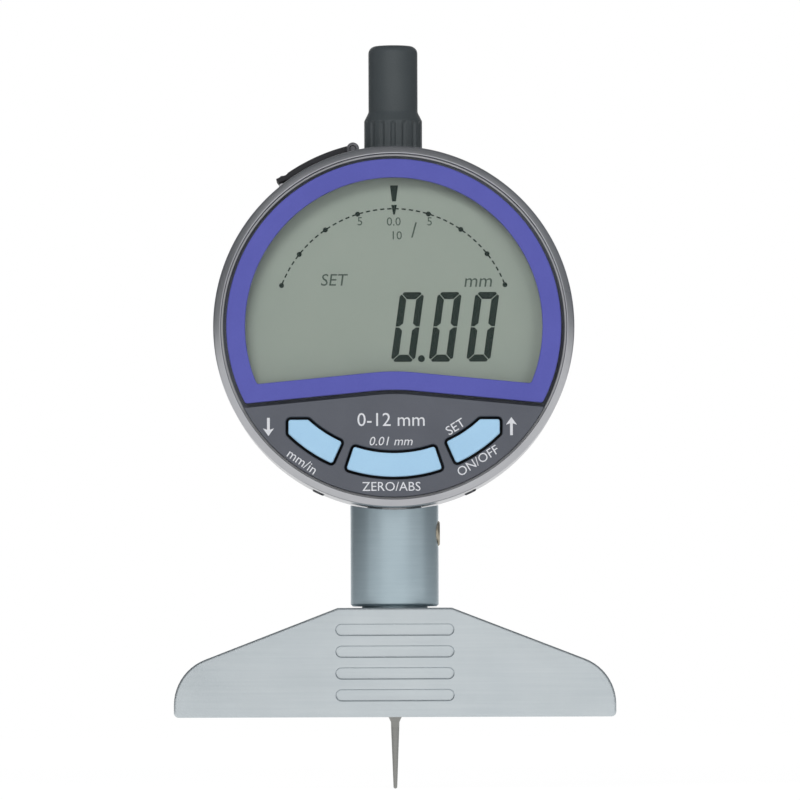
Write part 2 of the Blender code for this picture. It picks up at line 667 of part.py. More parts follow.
def make_cap():
    """The spindle's cap: a plain upper part on a fluted skirt, hollow so that the rod can rise in it."""
    outer = CAP_DIAMETER / 2
    skirt = CAP_SKIRT_DIAMETER / 2
    neck_hole = BUSH_RADIUS + SEAT_GAP
    ceiling = CAP_TOP - CAP_TOP_THICKNESS
    skirt_top = CAP_BOTTOM + CAP_SKIRT_HEIGHT
    crown = arc((outer - CAP_TOP_RADIUS, CAP_TOP - CAP_TOP_RADIUS), CAP_TOP_RADIUS, pi / 2, 0)
    cap = turned(
        "spindle_cap",
        [
            (0, CAP_TOP),
            *crown,
            (outer, skirt_top + CAP_FLARE_HEIGHT),
            (skirt, skirt_top),
            (skirt, CAP_BOTTOM),
            (neck_hole, CAP_BOTTOM),
            (neck_hole, NECK_TOP + SEAT_GAP),
            (ROD_RADIUS + CAP_ROOM, NECK_TOP + SEAT_GAP),
            (ROD_RADIUS + CAP_ROOM, ceiling),
            (0, ceiling),
        ],
    )
    dressed(cap, CHARCOAL_PLASTIC)
    ring = skirt + FLUTE_DIAMETER / 2 - FLUTE_DEPTH
    centres = [polar(ring, index * tau / FLUTE_COUNT) for index in range(FLUTE_COUNT)]
    low = CAP_BOTTOM - CUT_OVERRUN
    flutes = cylinder_mesh("cap_flutes", FLUTE_DIAMETER / 2, low, skirt_top, 6, centres)
    boolean(cap, helper(placed("cap_flutes", flutes)))


def make_dial_centre():
    """An empty at the case's centre, whose +Z points out of the display and whose +Y points up."""
    centre = bpy.data.objects.new("dial_centre", None)
    centre.location = (0, 0, CASE_CENTRE)
    centre.rotation_euler = (pi / 2, 0, 0)
    collection(OBJECT_NAME).objects.link(centre)
    return centre


def cover_screw_centres():
    """Centres of the back cover's four screws, seen from the front."""
    radius = CASE_INNER_RADIUS - COVER_BOSS_SETBACK
    angles = (COVER_SCREW_ANGLE, pi - COVER_SCREW_ANGLE, pi + COVER_SCREW_ANGLE, -COVER_SCREW_ANGLE)
    return [(radius * cos(angle), radius * sin(angle)) for angle in angles]


def hinge_centre():
    """The connector cover's hinge, just outside the rim."""
    return polar(HINGE_RADIUS, -HINGE_ANGLE)


def case_bosses(dial):
    """What the case's ring carries inside: the stem's and the bush's blocks and the screw bosses."""
    inner = CASE_INNER_RADIUS - BOSS_DEPTH
    depth = 2 * min(STEM_RADIUS + SEAT_GAP + SLIDE_GAP, BOARD_BACK - SEAT_GAP)
    height = CASE_RADIUS - inner
    lower = box_mesh("stem_block", 2 * BOSS_REACH, height, depth)
    yield placed("stem_block", lower, (0, -inner - height / 2, 0), parent=dial)
    left = BUSH_RADIUS + BOSS_WALL
    upper = box_mesh("bush_block", BOSS_REACH + left, height, depth)
    middle = ((BOSS_REACH - left) / 2, inner + height / 2, 0)
    yield placed("bush_block", upper, middle, parent=dial)
    bosses = cylinder_mesh(
        "cover_bosses",
        COVER_BOSS_DIAMETER / 2,
        CASE_BACK,
        BOARD_BACK - SEAT_GAP,
        centres=cover_screw_centres(),
    )
    yield placed("cover_bosses", bosses, parent=dial)


def case_holes(dial):
    """Everything that is cut out of the case."""
    centre = CASE_CENTRE
    stem = cylinder_mesh(
        "stem_hole", STEM_RADIUS + SEAT_GAP, centre - CASE_RADIUS - CUT_OVERRUN, centre, ROUND_STEPS
    )
    yield placed("stem_hole", stem)
    bush = cylinder_mesh(
        "bush_hole", BUSH_RADIUS + SEAT_GAP, centre, CASE_TOP + CUT_OVERRUN, ROUND_STEPS
    )
    yield placed("bush_hole", bush)
    seat = RAIL_SEAT_DEPTH + SEAT_GAP
    rail = cylinder_mesh(
        "rail_hole", RAIL_DIAMETER / 2 + SEAT_GAP, LOWER_BOSS_TOP - seat, UPPER_BOSS_BOTTOM + seat
    )
    yield placed("rail_hole", rail, (RAIL_OFFSET, 0, 0))
    pilots = cylinder_mesh(
        "pilot_holes",
        COVER_SCREW_DIAMETER / 2 + SEAT_GAP,
        CASE_BACK - CUT_OVERRUN,
        LID_BACK + COVER_SCREW_LENGTH + SEAT_GAP,
        centres=cover_screw_centres(),
    )
    yield placed("pilot_holes", pilots, parent=dial)
    inner = CASE_RADIUS + RIM_SCREW_STAND - RIM_SCREW_LENGTH - SEAT_GAP
    rim = cylinder_mesh("rim_hole", RIM_SCREW_DIAMETER / 2 + SEAT_GAP, inner, CASE_RADIUS + CUT_OVERRUN)
    for side in (-1, 1):
        turn = (0, pi - side * RIM_SCREW_ANGLE, 0)
        yield placed(f"rim_hole_{side}", rim, (0, 0, centre), turn)
    window = box_mesh(
        "socket_hole",
        SOCKET_LENGTH + 2 * SEAT_GAP,
        SOCKET_WIDTH + 2 * SEAT_GAP,
        2 * (CASE_WALL + CUT_OVERRUN),
    )
    x, z = polar(CASE_RADIUS, -SOCKET_ANGLE)
    yield placed("socket_hole", window, (x, 0, centre + z), (0, -SOCKET_ANGLE, 0))
    x, y = hinge_centre()
    half = DOOR_WIDTH / 2 + SEAT_GAP
    groove = cylinder_mesh("hinge_groove", KNUCKLE_DIAMETER / 2 + SEAT_GAP, -half, half)
    yield placed("hinge_groove", groove, (x, y, 0), parent=dial)
    end = half + EAR_WIDTH + CUT_OVERRUN
    pin = cylinder_mesh("hinge_hole", HINGE_PIN_DIAMETER / 2 + SLIDE_GAP, -end, end)
    yield placed("hinge_hole", pin, (x, y, 0), parent=dial)
    x, y = polar(CASE_RADIUS, -DOOR_END_ANGLE)
    notch = cylinder_mesh("tab_notch", TAB_NOTCH_DEPTH, -half, half, steps=8)
    yield placed("tab_notch", notch, (x, y, 0), parent=dial)


def make_case(dial):
    """The case: a ring with a round front edge, its inner blocks and bosses and the cover's two ears."""
    edge_centre = (CASE_RADIUS - CASE_EDGE_RADIUS, RIM_FRONT - CASE_EDGE_RADIUS)
    edge = arc(edge_centre, CASE_EDGE_RADIUS, pi / 2, 0)
    case = turned(
        "case_body",
        [
            (CASE_LIP_RADIUS, RIM_FRONT),
            *edge,
            (CASE_RADIUS, CASE_BACK),
            (CASE_INNER_RADIUS, CASE_BACK),
            (CASE_INNER_RADIUS, LCD_FRONT),
            (CASE_LIP_RADIUS, LCD_FRONT),
        ],
        steps=CASE_STEPS,
        ring=True,
        parent=dial,
    )
    dressed(case, BRIGHT_METAL)
    trim_radius = CASE_RADIUS - CASE_WALL / 2
    trim_mesh = cylinder_mesh("boss_trim", trim_radius, CASE_BACK, RIM_FRONT, CASE_STEPS)
    trim = helper(placed("boss_trim", trim_mesh, parent=dial))
    for boss in case_bosses(dial):
        boolean(helper(boss), trim, "INTERSECT")
        boolean(case, boss, "UNION")
    x, y = hinge_centre()
    near = DOOR_WIDTH / 2 + SEAT_GAP
    for side, low in (("front", near), ("back", -near - EAR_WIDTH)):
        ear = cylinder_mesh("hinge_ear", KNUCKLE_DIAMETER / 2, low, low + EAR_WIDTH)
        boolean(case, helper(placed(f"hinge_ear_{side}", ear, (x, y, 0), parent=dial)), "UNION")
    for hole in case_holes(dial):
        boolean(case, helper(hole))


def make_rim_screws():
    """Two small set screws in the lower part of the rim."""
    outer = CASE_RADIUS + RIM_SCREW_STAND
    for side, name in ((-1, "rim_screw_left"), (1, "rim_screw_right")):
        make_set_screw(
            name,
            RIM_SCREW_DIAMETER / 2,
            outer - RIM_SCREW_LENGTH,
            outer,
            DARK_METAL,
            place=(0, 0, CASE_CENTRE),
            turn=(0, pi - side * RIM_SCREW_ANGLE, 0),
        )


def display_outline(radius, drop, points=CASE_STEPS):
    """A circle cut off below by a wide chevron, whose rounded apex lies `drop` below the centre."""
    bend = -drop - CHEVRON_RADIUS
    bend_x = CHEVRON_RADIUS * sin(CHEVRON_SLOPE)
    bend_y = bend + CHEVRON_RADIUS * cos(CHEVRON_SLOPE)
    # The straight side leaves the bend at the chevron's slope and meets the circle at `reach`.
    level = bend_y + bend_x * tan(CHEVRON_SLOPE)
    distance = level * cos(CHEVRON_SLOPE)
    corner = -CHEVRON_SLOPE + asin(distance / radius)
    top = arc((0, 0), radius, corner, pi - corner, points)
    apex = arc((0, bend), CHEVRON_RADIUS, pi / 2 + CHEVRON_SLOPE, pi / 2 - CHEVRON_SLOPE)
    return top + apex


def key_outline(side, grow):
    """A key seen from the front, larger all round by `grow`. Side is -1, 0 or 1."""
    inner = KEY_INNER_RADIUS - grow
    outer = KEY_OUTER_RADIUS + grow
    if side == 0:
        out_angle = MIDDLE_KEY_ANGLE + asin(grow / outer)
        in_angle = MIDDLE_KEY_ANGLE + asin(grow / inner)
        outline = arc((0, 0), outer, -pi / 2 - out_angle, -pi / 2 + out_angle, 2 * ARC_POINTS)
        return outline + arc((0, 0), inner, -pi / 2 + in_angle, -pi / 2 - in_angle, 2 * ARC_POINTS)
    reach = SIDE_KEY_REACH + grow
    top = SIDE_KEY_TOP_DROP - grow
    out_angle = SIDE_KEY_ANGLE - asin(grow / outer)
    in_angle = SIDE_KEY_ANGLE - asin(grow / inner)
    outline = arc((0, 0), outer, -pi / 2 + out_angle, -pi / 2 + asin(reach / outer), 2 * ARC_POINTS)
    outline.append((reach, -top))
    end = -asin(top / inner)
    outline += arc((0, 0), inner, end, -pi / 2 + in_angle, 2 * ARC_POINTS)
    if side < 0:
        return [(-x, y) for x, y in reversed(outline)]
    return outline


def make_front(dial):
    """The front plate, the display's surround and its window."""
    plate_mesh = slab_mesh(
        "face_plate", [arc((0, 0), PLATE_RADIUS, 0, tau, CASE_STEPS + 1)[:-1]], PLATE_BACK, PLATE_FRONT
    )
    plate = dressed(placed("face_plate", plate_mesh, parent=dial), GREY_PLASTIC)
    bevel(plate, PLATE_EDGE_BEVEL)
    recess = display_outline(FRAME_RADIUS + GROOVE_WIDTH, FRAME_APEX_DROP + GROOVE_WIDTH)
    recess_mesh = slab_mesh("frame_recess", [recess], LEDGE_FRONT, PLATE_FRONT + CUT_OVERRUN)
    boolean(plate, helper(placed("frame_recess", recess_mesh, parent=dial)))
    hidden = WINDOW_LEDGE_WIDTH / 2
    view = display_outline(DISPLAY_RADIUS + hidden, DISPLAY_APEX_DROP + hidden)
    view_mesh = slab_mesh("view_hole", [view], PLATE_BACK - CUT_OVERRUN, PLATE_FRONT)
    boolean(plate, helper(placed("view_hole", view_mesh, parent=dial)))
    for side in (-1, 0, 1):
        name = f"key_hole_{side}"
        outline = key_outline(side, KEY_GAP)
        hole = slab_mesh(name, [outline], PLATE_BACK - CUT_OVERRUN, PLATE_FRONT + CUT_OVERRUN)
        boolean(plate, helper(placed(name, hole, parent=dial)))

    frame_outline = display_outline(FRAME_RADIUS, FRAME_APEX_DROP)
    opening = display_outline(DISPLAY_RADIUS, DISPLAY_APEX_DROP)
    frame_mesh = slab_mesh("display_frame", [frame_outline, opening], FRAME_BACK, FRAME_FRONT)
    frame = dressed(placed("display_frame", frame_mesh, parent=dial), BLUE_PLASTIC)
    bevel(frame, FRAME_EDGE_BEVEL)

    spare = GROOVE_WIDTH - SEAT_GAP
    window_outline = display_outline(FRAME_RADIUS + spare, FRAME_APEX_DROP + spare)
    window_mesh = slab_mesh("display_window", [window_outline], WINDOW_BACK, WINDOW_FRONT)
    dressed(placed("display_window", window_mesh, parent=dial), CLEAR)


def make_keys(dial):
    """The three keys, each with its origin at its middle, and the rubber mat behind them."""
    middle_radius = (KEY_INNER_RADIUS + KEY_OUTER_RADIUS) / 2
    side_angle = (SIDE_KEY_ANGLE + SIDE_KEY_OUTER_ANGLE) / 2
    for side, name in ((-1, "key_left"), (0, "key_middle"), (1, "key_right")):
        angle = side * side_angle
        x, y = middle_radius * sin(angle), -middle_radius * cos(angle)
        outline = [(px - x, py - y) for px, py in key_outline(side, 0)]
        depth = KEY_THICKNESS / 2
        mesh = slab_mesh(name, [outline], -depth, depth)
        key = dressed(placed(name, mesh, (x, y, KEY_BACK + depth), parent=dial), KEY_PLASTIC)
        bevel(key, KEY_EDGE_BEVEL)
    mat_radius = CASE_INNER_RADIUS - 3 * SEAT_GAP
    low_edge = FRAME_APEX_DROP + 2 * WINDOW_LEDGE_WIDTH
    cut = asin(low_edge / mat_radius)
    outline = arc((0, 0), mat_radius, -pi + cut, -cut, CASE_STEPS // 2)
    mat = slab_mesh("key_mat", [outline], BOARD_FRONT + SEAT_GAP, PLATE_BACK - SEAT_GAP)
    dressed(placed("key_mat", mat, parent=dial), RUBBER)


def make_electronics(dial):
    """The display glass, its contact strip, the main board and the sensor board."""
    radius = DISPLAY_RADIUS + LCD_OVERLAP
    low_edge = FRAME_APEX_DROP + LCD_OVERLAP
    cut = asin(low_edge / radius)
    outline = arc((0, 0), radius, -cut, pi + cut, CASE_STEPS)
    lcd = slab_mesh("lcd_panel", [outline], LCD_BACK, LCD_FRONT)
    dressed(placed("lcd_panel", lcd, parent=dial), LCD_GREEN)
    half = sqrt(radius * radius - low_edge * low_edge) - ZEBRA_END_MARGIN
    zebra = box_mesh("zebra_strip", 2 * half, ZEBRA_WIDTH, ZEBRA_THICKNESS)
    place = (0, ZEBRA_WIDTH / 2 - low_edge + SEAT_GAP, (ZEBRA_FRONT + ZEBRA_BACK) / 2)
    dressed(placed("zebra_strip", zebra, place, parent=dial), RUBBER)
    board_radius = CASE_INNER_RADIUS - SEAT_GAP
    board = cylinder_mesh("main_board", board_radius, BOARD_BACK, BOARD_FRONT, CASE_STEPS)
    dressed(placed("main_board", board, parent=dial), BOARD_GREEN)
    sensor = box_mesh("sensor_board", SENSOR_WIDTH, SENSOR_LENGTH, SENSOR_THICKNESS)
    middle = (CARRIER_BOTTOM + CARRIER_TOP + STROKE) / 2 - CASE_CENTRE - STRIP_DROP / 2
    place = (0, middle, (SENSOR_FRONT + SENSOR_BACK) / 2)
    dressed(placed("sensor_board", sensor, place, parent=dial), BOARD_GREEN)


def make_carrier():
    """What rides on the spindle in the case: the carrier, its screw, the scale and the stop collar."""
    hole = ROD_RADIUS + SEAT_GAP
    left = -(hole + CARRIER_WALL)
    right = RAIL_OFFSET + RAIL_DIAMETER / 2 + CARRIER_WALL
    height = CARRIER_TOP - CARRIER_BOTTOM
    middle = (CARRIER_BOTTOM + CARRIER_TOP) / 2
    block = box_mesh("scale_carrier", -2 * left, 2 * CARRIER_FRONT, height)
    carrier = dressed(placed("scale_carrier", block, (0, 0, middle)), BRASS)
    arm = box_mesh("carrier_arm", right, CARRIER_ARM_DEPTH, height)
    boolean(carrier, helper(placed("carrier_arm", arm, (right / 2, 0, middle))), "UNION")
    low, high = CARRIER_BOTTOM - CUT_OVERRUN, CARRIER_TOP + CUT_OVERRUN
    bore = cylinder_mesh("carrier_bore", hole, low, high, ROUND_STEPS)
    boolean(carrier, helper(placed("carrier_bore", bore)))
    guide = cylinder_mesh("carrier_guide", RAIL_DIAMETER / 2 + SLIDE_GAP, low, high)
    boolean(carrier, helper(placed("carrier_guide", guide, (RAIL_OFFSET, 0, 0))))
    screw_radius = CARRIER_SCREW_DIAMETER / 2
    backwards = {"place": (0, 0, middle), "turn": (-pi / 2, 0, 0)}
    tap = cylinder_mesh("carrier_tap", screw_radius + SLIDE_GAP, ROD_RADIUS, CARRIER_FRONT + CUT_OVERRUN)
    boolean(carrier, helper(placed("carrier_tap", tap, **backwards)))
    make_set_screw(
        "carrier_screw", screw_radius, ROD_RADIUS + SLIDE_GAP, CARRIER_FRONT, DARK_METAL, **backwards
    )

    length = STRIP_RISE + CARRIER_HEIGHT + STRIP_DROP
    strip = box_mesh("scale_strip", STRIP_WIDTH, STRIP_THICKNESS, length)
    place = (0, -(STRIP_FRONT + STRIP_BACK) / 2, CARRIER_BOTTOM - STRIP_DROP + length / 2)
    dressed(placed("scale_strip", strip, place), BRIGHT_METAL)

    collar = turned(
        "stop_collar",
        [
            (hole, COLLAR_BOTTOM + COLLAR_HEIGHT),
            (COLLAR_DIAMETER / 2, COLLAR_BOTTOM + COLLAR_HEIGHT),
            (COLLAR_DIAMETER / 2, COLLAR_BOTTOM),
            (hole, COLLAR_BOTTOM),
        ],
        steps=SMALL_STEPS,
        ring=True,
    )
    dressed(collar, RUBBER)


def make_guide_rail():
    """The rail that keeps the carrier from turning, seated in the case's two blocks."""
    low = LOWER_BOSS_TOP - RAIL_SEAT_DEPTH
    high = UPPER_BOSS_BOTTOM + RAIL_SEAT_DEPTH
    rail = cylinder_mesh("guide_rail", RAIL_DIAMETER / 2, low, high)
    dressed(placed("guide_rail", rail, (RAIL_OFFSET, 0, 0)), STEEL)


def spring_points():
    """The return spring's line: a helix round the rod, with a short upright run at each end."""
    radius = ROD_RADIUS + SPRING_ROOM + SPRING_WIRE / 2
    low = CARRIER_TOP + SEAT_GAP
    high = UPPER_FLANGE_BOTTOM - SEAT_GAP
    angles = np.linspace(0, SPRING_TURNS * tau, SPRING_TURNS * TURN_POINTS + 1)
    heights = np.linspace(low + SPRING_WIRE, high - SPRING_WIRE, len(angles))
    helix = np.column_stack([radius * np.cos(angles), radius * np.sin(angles), heights])
    first, last = helix[0].copy(), helix[-1].copy()
    first[2], last[2] = low, high
    return np.vstack([first, helix, last])


def make_return_spring():
    """The return spring, one unbroken wire between the carrier and the upper bush."""
    points = spring_points()
    curve = bpy.data.curves.new("return_spring", "CURVE")
    curve.dimensions = "3D"
    curve.bevel_depth = SPRING_WIRE / 2
    curve.bevel_resolution = 1
    curve.use_fill_caps = True
    spline = curve.splines.new("POLY")
    spline.points.add(len(points) - 1)
    spline.points.foreach_set("co", np.column_stack([points, np.ones(len(points))]).ravel())
    dressed(bpy.data.objects.new("return_spring", curve), STEEL)
    steps = np.arange(len(points))
    apart = np.linalg.norm(points[:, None] - points[None], axis=2)
    far = np.abs(steps[:, None] - steps[None]) > TURN_POINTS / 2
    gap = (apart[far].min() - SPRING_WIRE) / MM
    print(f"return_spring: least gap to itself {gap:.2f} mm")


def make_back(dial):
    """The back cover and its four countersunk screws."""
    seal_hole = LID_NECK_RADIUS + 2 * SEAT_GAP + SEAL_THICKNESS
    flange_hole = LID_RADIUS + SEAT_GAP
    step = LID_FLANGE_FRONT + SEAT_GAP
    edge_centre = (COVER_RADIUS - COVER_EDGE_RADIUS, COVER_BACK + COVER_EDGE_RADIUS)
    cover = turned(
        "back_cover",
        [
            (seal_hole, COVER_FRONT),
            (COVER_RADIUS, COVER_FRONT),
            *arc(edge_centre, COVER_EDGE_RADIUS, 0, -pi / 2),
            (flange_hole, COVER_BACK),
            (flange_hole, step),
            (seal_hole, step),
        ],
        steps=CASE_STEPS,
        ring=True,
        parent=dial,
    )
    dressed(cover, BLACK_PLASTIC)
    head = COVER_SCREW_HEAD / 2
    shank = COVER_SCREW_DIAMETER / 2
    head_front = LID_BACK + head - shank
    gap = SEAT_GAP
    sink = [
        (0, head_front + COVER_THICKNESS + CUT_OVERRUN),
        (shank + gap, head_front + COVER_THICKNESS + CUT_OVERRUN),
        (shank + gap, head_front),
        (head + gap, LID_BACK),
        (head + gap, COVER_BACK - CUT_OVERRUN),
        (0, COVER_BACK - CUT_OVERRUN),
    ]
    body = [
        (0, LID_BACK + COVER_SCREW_LENGTH),
        (shank, LID_BACK + COVER_SCREW_LENGTH),
        (shank, head_front),
        (head, LID_BACK),
        (0, LID_BACK),
    ]
    for index, (x, y) in enumerate(cover_screw_centres(), start=1):
        where = {"place": (x, y, 0), "parent": dial}
        boolean(cover, helper(turned(f"cover_hole_{index}", sink, SMALL_STEPS, **where)))
        name = f"back_cover_screw_{index}"
        screw = dressed(turned(name, body, SMALL_STEPS, **where), DARK_METAL)
        slot = box_mesh("screw_slot", 2 * head + CUT_OVERRUN, COVER_SCREW_SLOT, 2 * COVER_SCREW_SLOT)
        turn = (0, 0, atan2(y, x))
        slot_place = (x, y, LID_BACK)
        boolean(screw, helper(placed(f"screw_slot_{index}", slot, slot_place, turn, dial)))


def make_battery(dial):
    """The coin cell, its holder and contact, and the lid with its coin slot and ring seal."""
    cell_radius = CELL_DIAMETER / 2
    cell = turned(
        "battery_cell",
        [
            (0, CELL_FRONT),
            (cell_radius - CELL_THICKNESS / 2, CELL_FRONT),
            (cell_radius - CELL_THICKNESS / 2, CELL_FRONT - CONTACT_THICKNESS),
            (cell_radius, CELL_FRONT - CONTACT_THICKNESS),
            (cell_radius, CELL_BACK),
            (0, CELL_BACK),
        ],
        parent=dial,
    )
    dressed(cell, BRIGHT_METAL)
    contact = box_mesh("battery_contact", CELL_DIAMETER, CONTACT_WIDTH, CONTACT_THICKNESS)
    place = (0, 0, (CONTACT_FRONT + CONTACT_BACK) / 2)
    dressed(placed("battery_contact", contact, place, parent=dial), BRASS)
    inner = cell_radius + SEAT_GAP
    holder = turned(
        "battery_holder",
        [
            (0, HOLDER_FRONT),
            (inner + HOLDER_WALL, HOLDER_FRONT),
            (inner + HOLDER_WALL, HOLDER_BACK),
            (inner, HOLDER_BACK),
            (inner, HOLDER_FLOOR_BACK),
            (0, HOLDER_FLOOR_BACK),
        ],
        parent=dial,
    )
    dressed(holder, BLACK_PLASTIC)
    lid = turned(
        "battery_lid",
        [
            (0, LID_FRONT),
            (LID_NECK_RADIUS, LID_FRONT),
            (LID_NECK_RADIUS, LID_FLANGE_FRONT),
            (LID_RADIUS, LID_FLANGE_FRONT),
            (LID_RADIUS, LID_BACK),
            (0, LID_BACK),
        ],
        steps=CASE_STEPS,
        parent=dial,
    )
    dressed(lid, BLACK_PLASTIC)
    outline = slot_outline(LID_SLOT_LENGTH, LID_SLOT_WIDTH)
    slot = slab_mesh("coin_slot", [outline], LID_BACK - CUT_OVERRUN, LID_BACK + LID_SLOT_DEPTH)
    boolean(lid, helper(placed("coin_slot", slot, parent=dial)))
    thick = SEAL_THICKNESS / 2
    section = arc((LID_NECK_RADIUS + SEAT_GAP + thick, SEAL_MIDDLE), thick, tau, 0, 2 * ARC_POINTS - 1)[:-1]
    dressed(turned("lid_seal", section, ring=True, parent=dial), RUBBER)


def make_connector(dial):
    """The output socket in the rim, its arc-shaped cover and the cover's hinge pin."""
    outer = CASE_RADIUS - SEAT_GAP
    x, z = polar(outer - SOCKET_HEIGHT / 2, -SOCKET_ANGLE)
    body = box_mesh("data_socket", SOCKET_LENGTH, SOCKET_WIDTH, SOCKET_HEIGHT)
    tilt = (0, -SOCKET_ANGLE, 0)
    socket = dressed(placed("data_socket", body, (x, 0, CASE_CENTRE + z), tilt), BLACK_PLASTIC)
    slot = box_mesh("socket_slot", SOCKET_SLOT_LENGTH, SOCKET_SLOT_WIDTH, 2 * SOCKET_SLOT_DEPTH)
    x, z = polar(outer, -SOCKET_ANGLE)
    boolean(socket, helper(placed("socket_slot", slot, (x, 0, CASE_CENTRE + z), tilt)))

    hx, hy = hinge_centre()
    half = DOOR_WIDTH / 2
    low = CASE_RADIUS + SEAT_GAP
    high = low + DOOR_THICKNESS
    start = pi / 2 + atan2(-hx, hy)
    end = pi / 2 + DOOR_END_ANGLE
    tab = TAB_LENGTH / high
    outline = arc((-hx, -hy), high, start, end - tab, 2 * ARC_POINTS)
    outline += arc((-hx, -hy), high + TAB_LIFT, end, end, 1)
    outline += arc((-hx, -hy), low + TAB_LIFT, end, end, 1)
    outline += arc((-hx, -hy), low, end - tab, start, 2 * ARC_POINTS)
    mesh = slab_mesh("connector_cover", [outline], -half, half)
    door = dressed(placed("connector_cover", mesh, (hx, hy, 0), parent=dial), RUBBER)
    knuckle = cylinder_mesh("door_knuckle", KNUCKLE_DIAMETER / 2, -half, half)
    boolean(door, helper(placed("door_knuckle", knuckle, (hx, hy, 0), parent=dial)), "UNION")
    end = half + CUT_OVERRUN
    hole = cylinder_mesh("door_hole", HINGE_PIN_DIAMETER / 2 + SLIDE_GAP, -end, end)
    boolean(door, helper(placed("door_hole", hole, (hx, hy, 0), parent=dial)))
    reach = half + SEAT_GAP + EAR_WIDTH - SLIDE_GAP
    pin = cylinder_mesh("cover_hinge_pin", HINGE_PIN_DIAMETER / 2, -reach, reach)
    dressed(placed("cover_hinge_pin", pin, (hx, hy, 0), parent=dial), STEEL)


def main():
    """Builds the whole gauge."""
    clear_scene()
    dial = make_dial_centre()
    make_base()
    make_column()
    make_spindle()
    make_stem()
    make_upper_bush()
    make_cap()
    make_case(dial)
    make_rim_screws()
    make_front(dial)
    make_keys(dial)
    make_electronics(dial)
    make_carrier()
    make_guide_rail()
    make_return_spring()
    make_back(dial)
    make_battery(dial)
    make_connector(dial)
    settle_all()


main()
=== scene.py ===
"""Depth gauge, dressed: a sloped steel base, a column and a round digital indicator.

Metres, +Z up. The spindle runs along Z, the needle's tip at rest is the origin, and the display
faces -Y. "Level" means the distance in front of the spindle's axis, towards the viewer.
"""

import logging
from dataclasses import dataclass, field, replace
from enum import Enum
from math import asin, atan2, cos, pi, radians, sin, tan, tau
from typing import Callable

import bmesh
import bpy
import numpy as np
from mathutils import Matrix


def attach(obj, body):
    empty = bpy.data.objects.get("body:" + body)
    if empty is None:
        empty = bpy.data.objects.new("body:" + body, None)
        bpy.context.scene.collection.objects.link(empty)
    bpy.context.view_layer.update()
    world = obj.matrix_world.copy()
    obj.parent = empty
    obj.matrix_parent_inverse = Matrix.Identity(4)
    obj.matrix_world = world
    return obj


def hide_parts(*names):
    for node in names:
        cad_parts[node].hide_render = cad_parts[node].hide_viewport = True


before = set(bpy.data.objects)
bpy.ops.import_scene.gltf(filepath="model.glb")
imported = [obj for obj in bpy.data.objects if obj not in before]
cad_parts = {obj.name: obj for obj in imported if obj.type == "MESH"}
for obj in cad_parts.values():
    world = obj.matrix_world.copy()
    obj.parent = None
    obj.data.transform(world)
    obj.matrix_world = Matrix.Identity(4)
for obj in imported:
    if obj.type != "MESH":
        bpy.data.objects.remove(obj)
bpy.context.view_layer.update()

LOG = logging.getLogger("depth_gauge")
MM = 0.001
WELD = 0.0005 * MM
OVERRUN = 1.0 * MM
SHARP = radians(32.0)
LEAST_TURN = radians(20.0)
LEAST_RADIUS = 0.001 * MM
ROUND = 96
FINE = 240
BAR_STEPS = 48
SCREW_STEPS = 64
INK = 0.02 * MM
CAPITAL = 0.7
WHITE = (1.0, 1.0, 1.0, 1.0)
EDGE_RANGE = (0.505, 0.56)
WEAR_NOISE_RANGE = (0.35, 0.65)
LEAST_WEAR = 0.35
SMUDGE_SCALE = 160.0
SMUDGE_MIDDLE = 0.7
GRAIN_IN_SMUDGE = 0.4
PATCH_SHARE = 0.6
MARK_SHARE = 0.4
DRIFT_RANGE = (0.36, 0.64)
BUMP_STRENGTH = 0.6

Point = tuple[float, float]
Vector = tuple[float, float, float]
Points = np.ndarray | list[Point]
Outline = Callable[[float], np.ndarray]
Piece = bpy.types.Object
Socket = bpy.types.NodeSocket


@dataclass(frozen=True)
class Place:
    """A piece's own three axes and origin, as directions and a point of the world."""

    origin: Vector = (0.0, 0.0, 0.0)
    right: Vector = (1.0, 0.0, 0.0)
    up: Vector = (0.0, 1.0, 0.0)
    out: Vector = (0.0, 0.0, 1.0)

    def world(self, points: np.ndarray) -> np.ndarray:
        """The world points: the origin plus each coordinate times its axis."""
        return np.asarray(self.origin) + points @ np.array([self.right, self.up, self.out])


@dataclass(frozen=True)
class Heights:
    """Heights above the needle's tip that several sub-assemblies share."""

    base_bottom: float = 10.3 * MM
    base_top: float = 26.0 * MM
    column_bottom: float = 26.3 * MM
    column_top: float = 40.1 * MM
    case_centre: float = 66.3 * MM
    cap_bottom: float = 92.5 * MM
    cap_top: float = 107.3 * MM


@dataclass(frozen=True)
class Levels:
    """Levels of the faces of the front and the back, counted towards the viewer."""

    frame_front: float = 12.0 * MM
    frame_back: float = 11.4 * MM
    rim_front: float = 11.7 * MM
    plate_front: float = 11.6 * MM
    plate_back: float = 9.8 * MM
    window_front: float = 11.1 * MM
    window_back: float = 10.5 * MM
    ledge_front: float = 10.2 * MM
    lcd_front: float = 9.5 * MM
    key_front: float = 11.9 * MM
    key_back: float = 10.1 * MM
    case_back: float = -9.9 * MM
    cover_front: float = -10.2 * MM
    lid_front: float = -10.3 * MM
    lid_flange_front: float = -11.2 * MM
    lid_back: float = -11.9 * MM
    cover_back: float = -12.0 * MM


HEIGHTS = Heights()
LEVELS = Levels()
SPINDLE = Place()
FRONT = Place(up=(0.0, 0.0, 1.0), out=(0.0, -1.0, 0.0))
DIAL = replace(FRONT, origin=(0.0, 0.0, HEIGHTS.case_centre))


def radial_place(angle: float, centre_height: float = HEIGHTS.case_centre) -> Place:
    """A place whose `out` axis leaves the dial's centre at an angle from straight up.

    Args:
        angle: counted from straight up towards the right, in radians.
        centre_height: height of the point that it leaves.

    Returns:
        The place, with its `up` axis along +Y.
    """
    c, s = cos(angle), sin(angle)
    return Place((0.0, 0.0, centre_height), (c, 0.0, -s), (0.0, 1.0, 0.0), (s, 0.0, c))


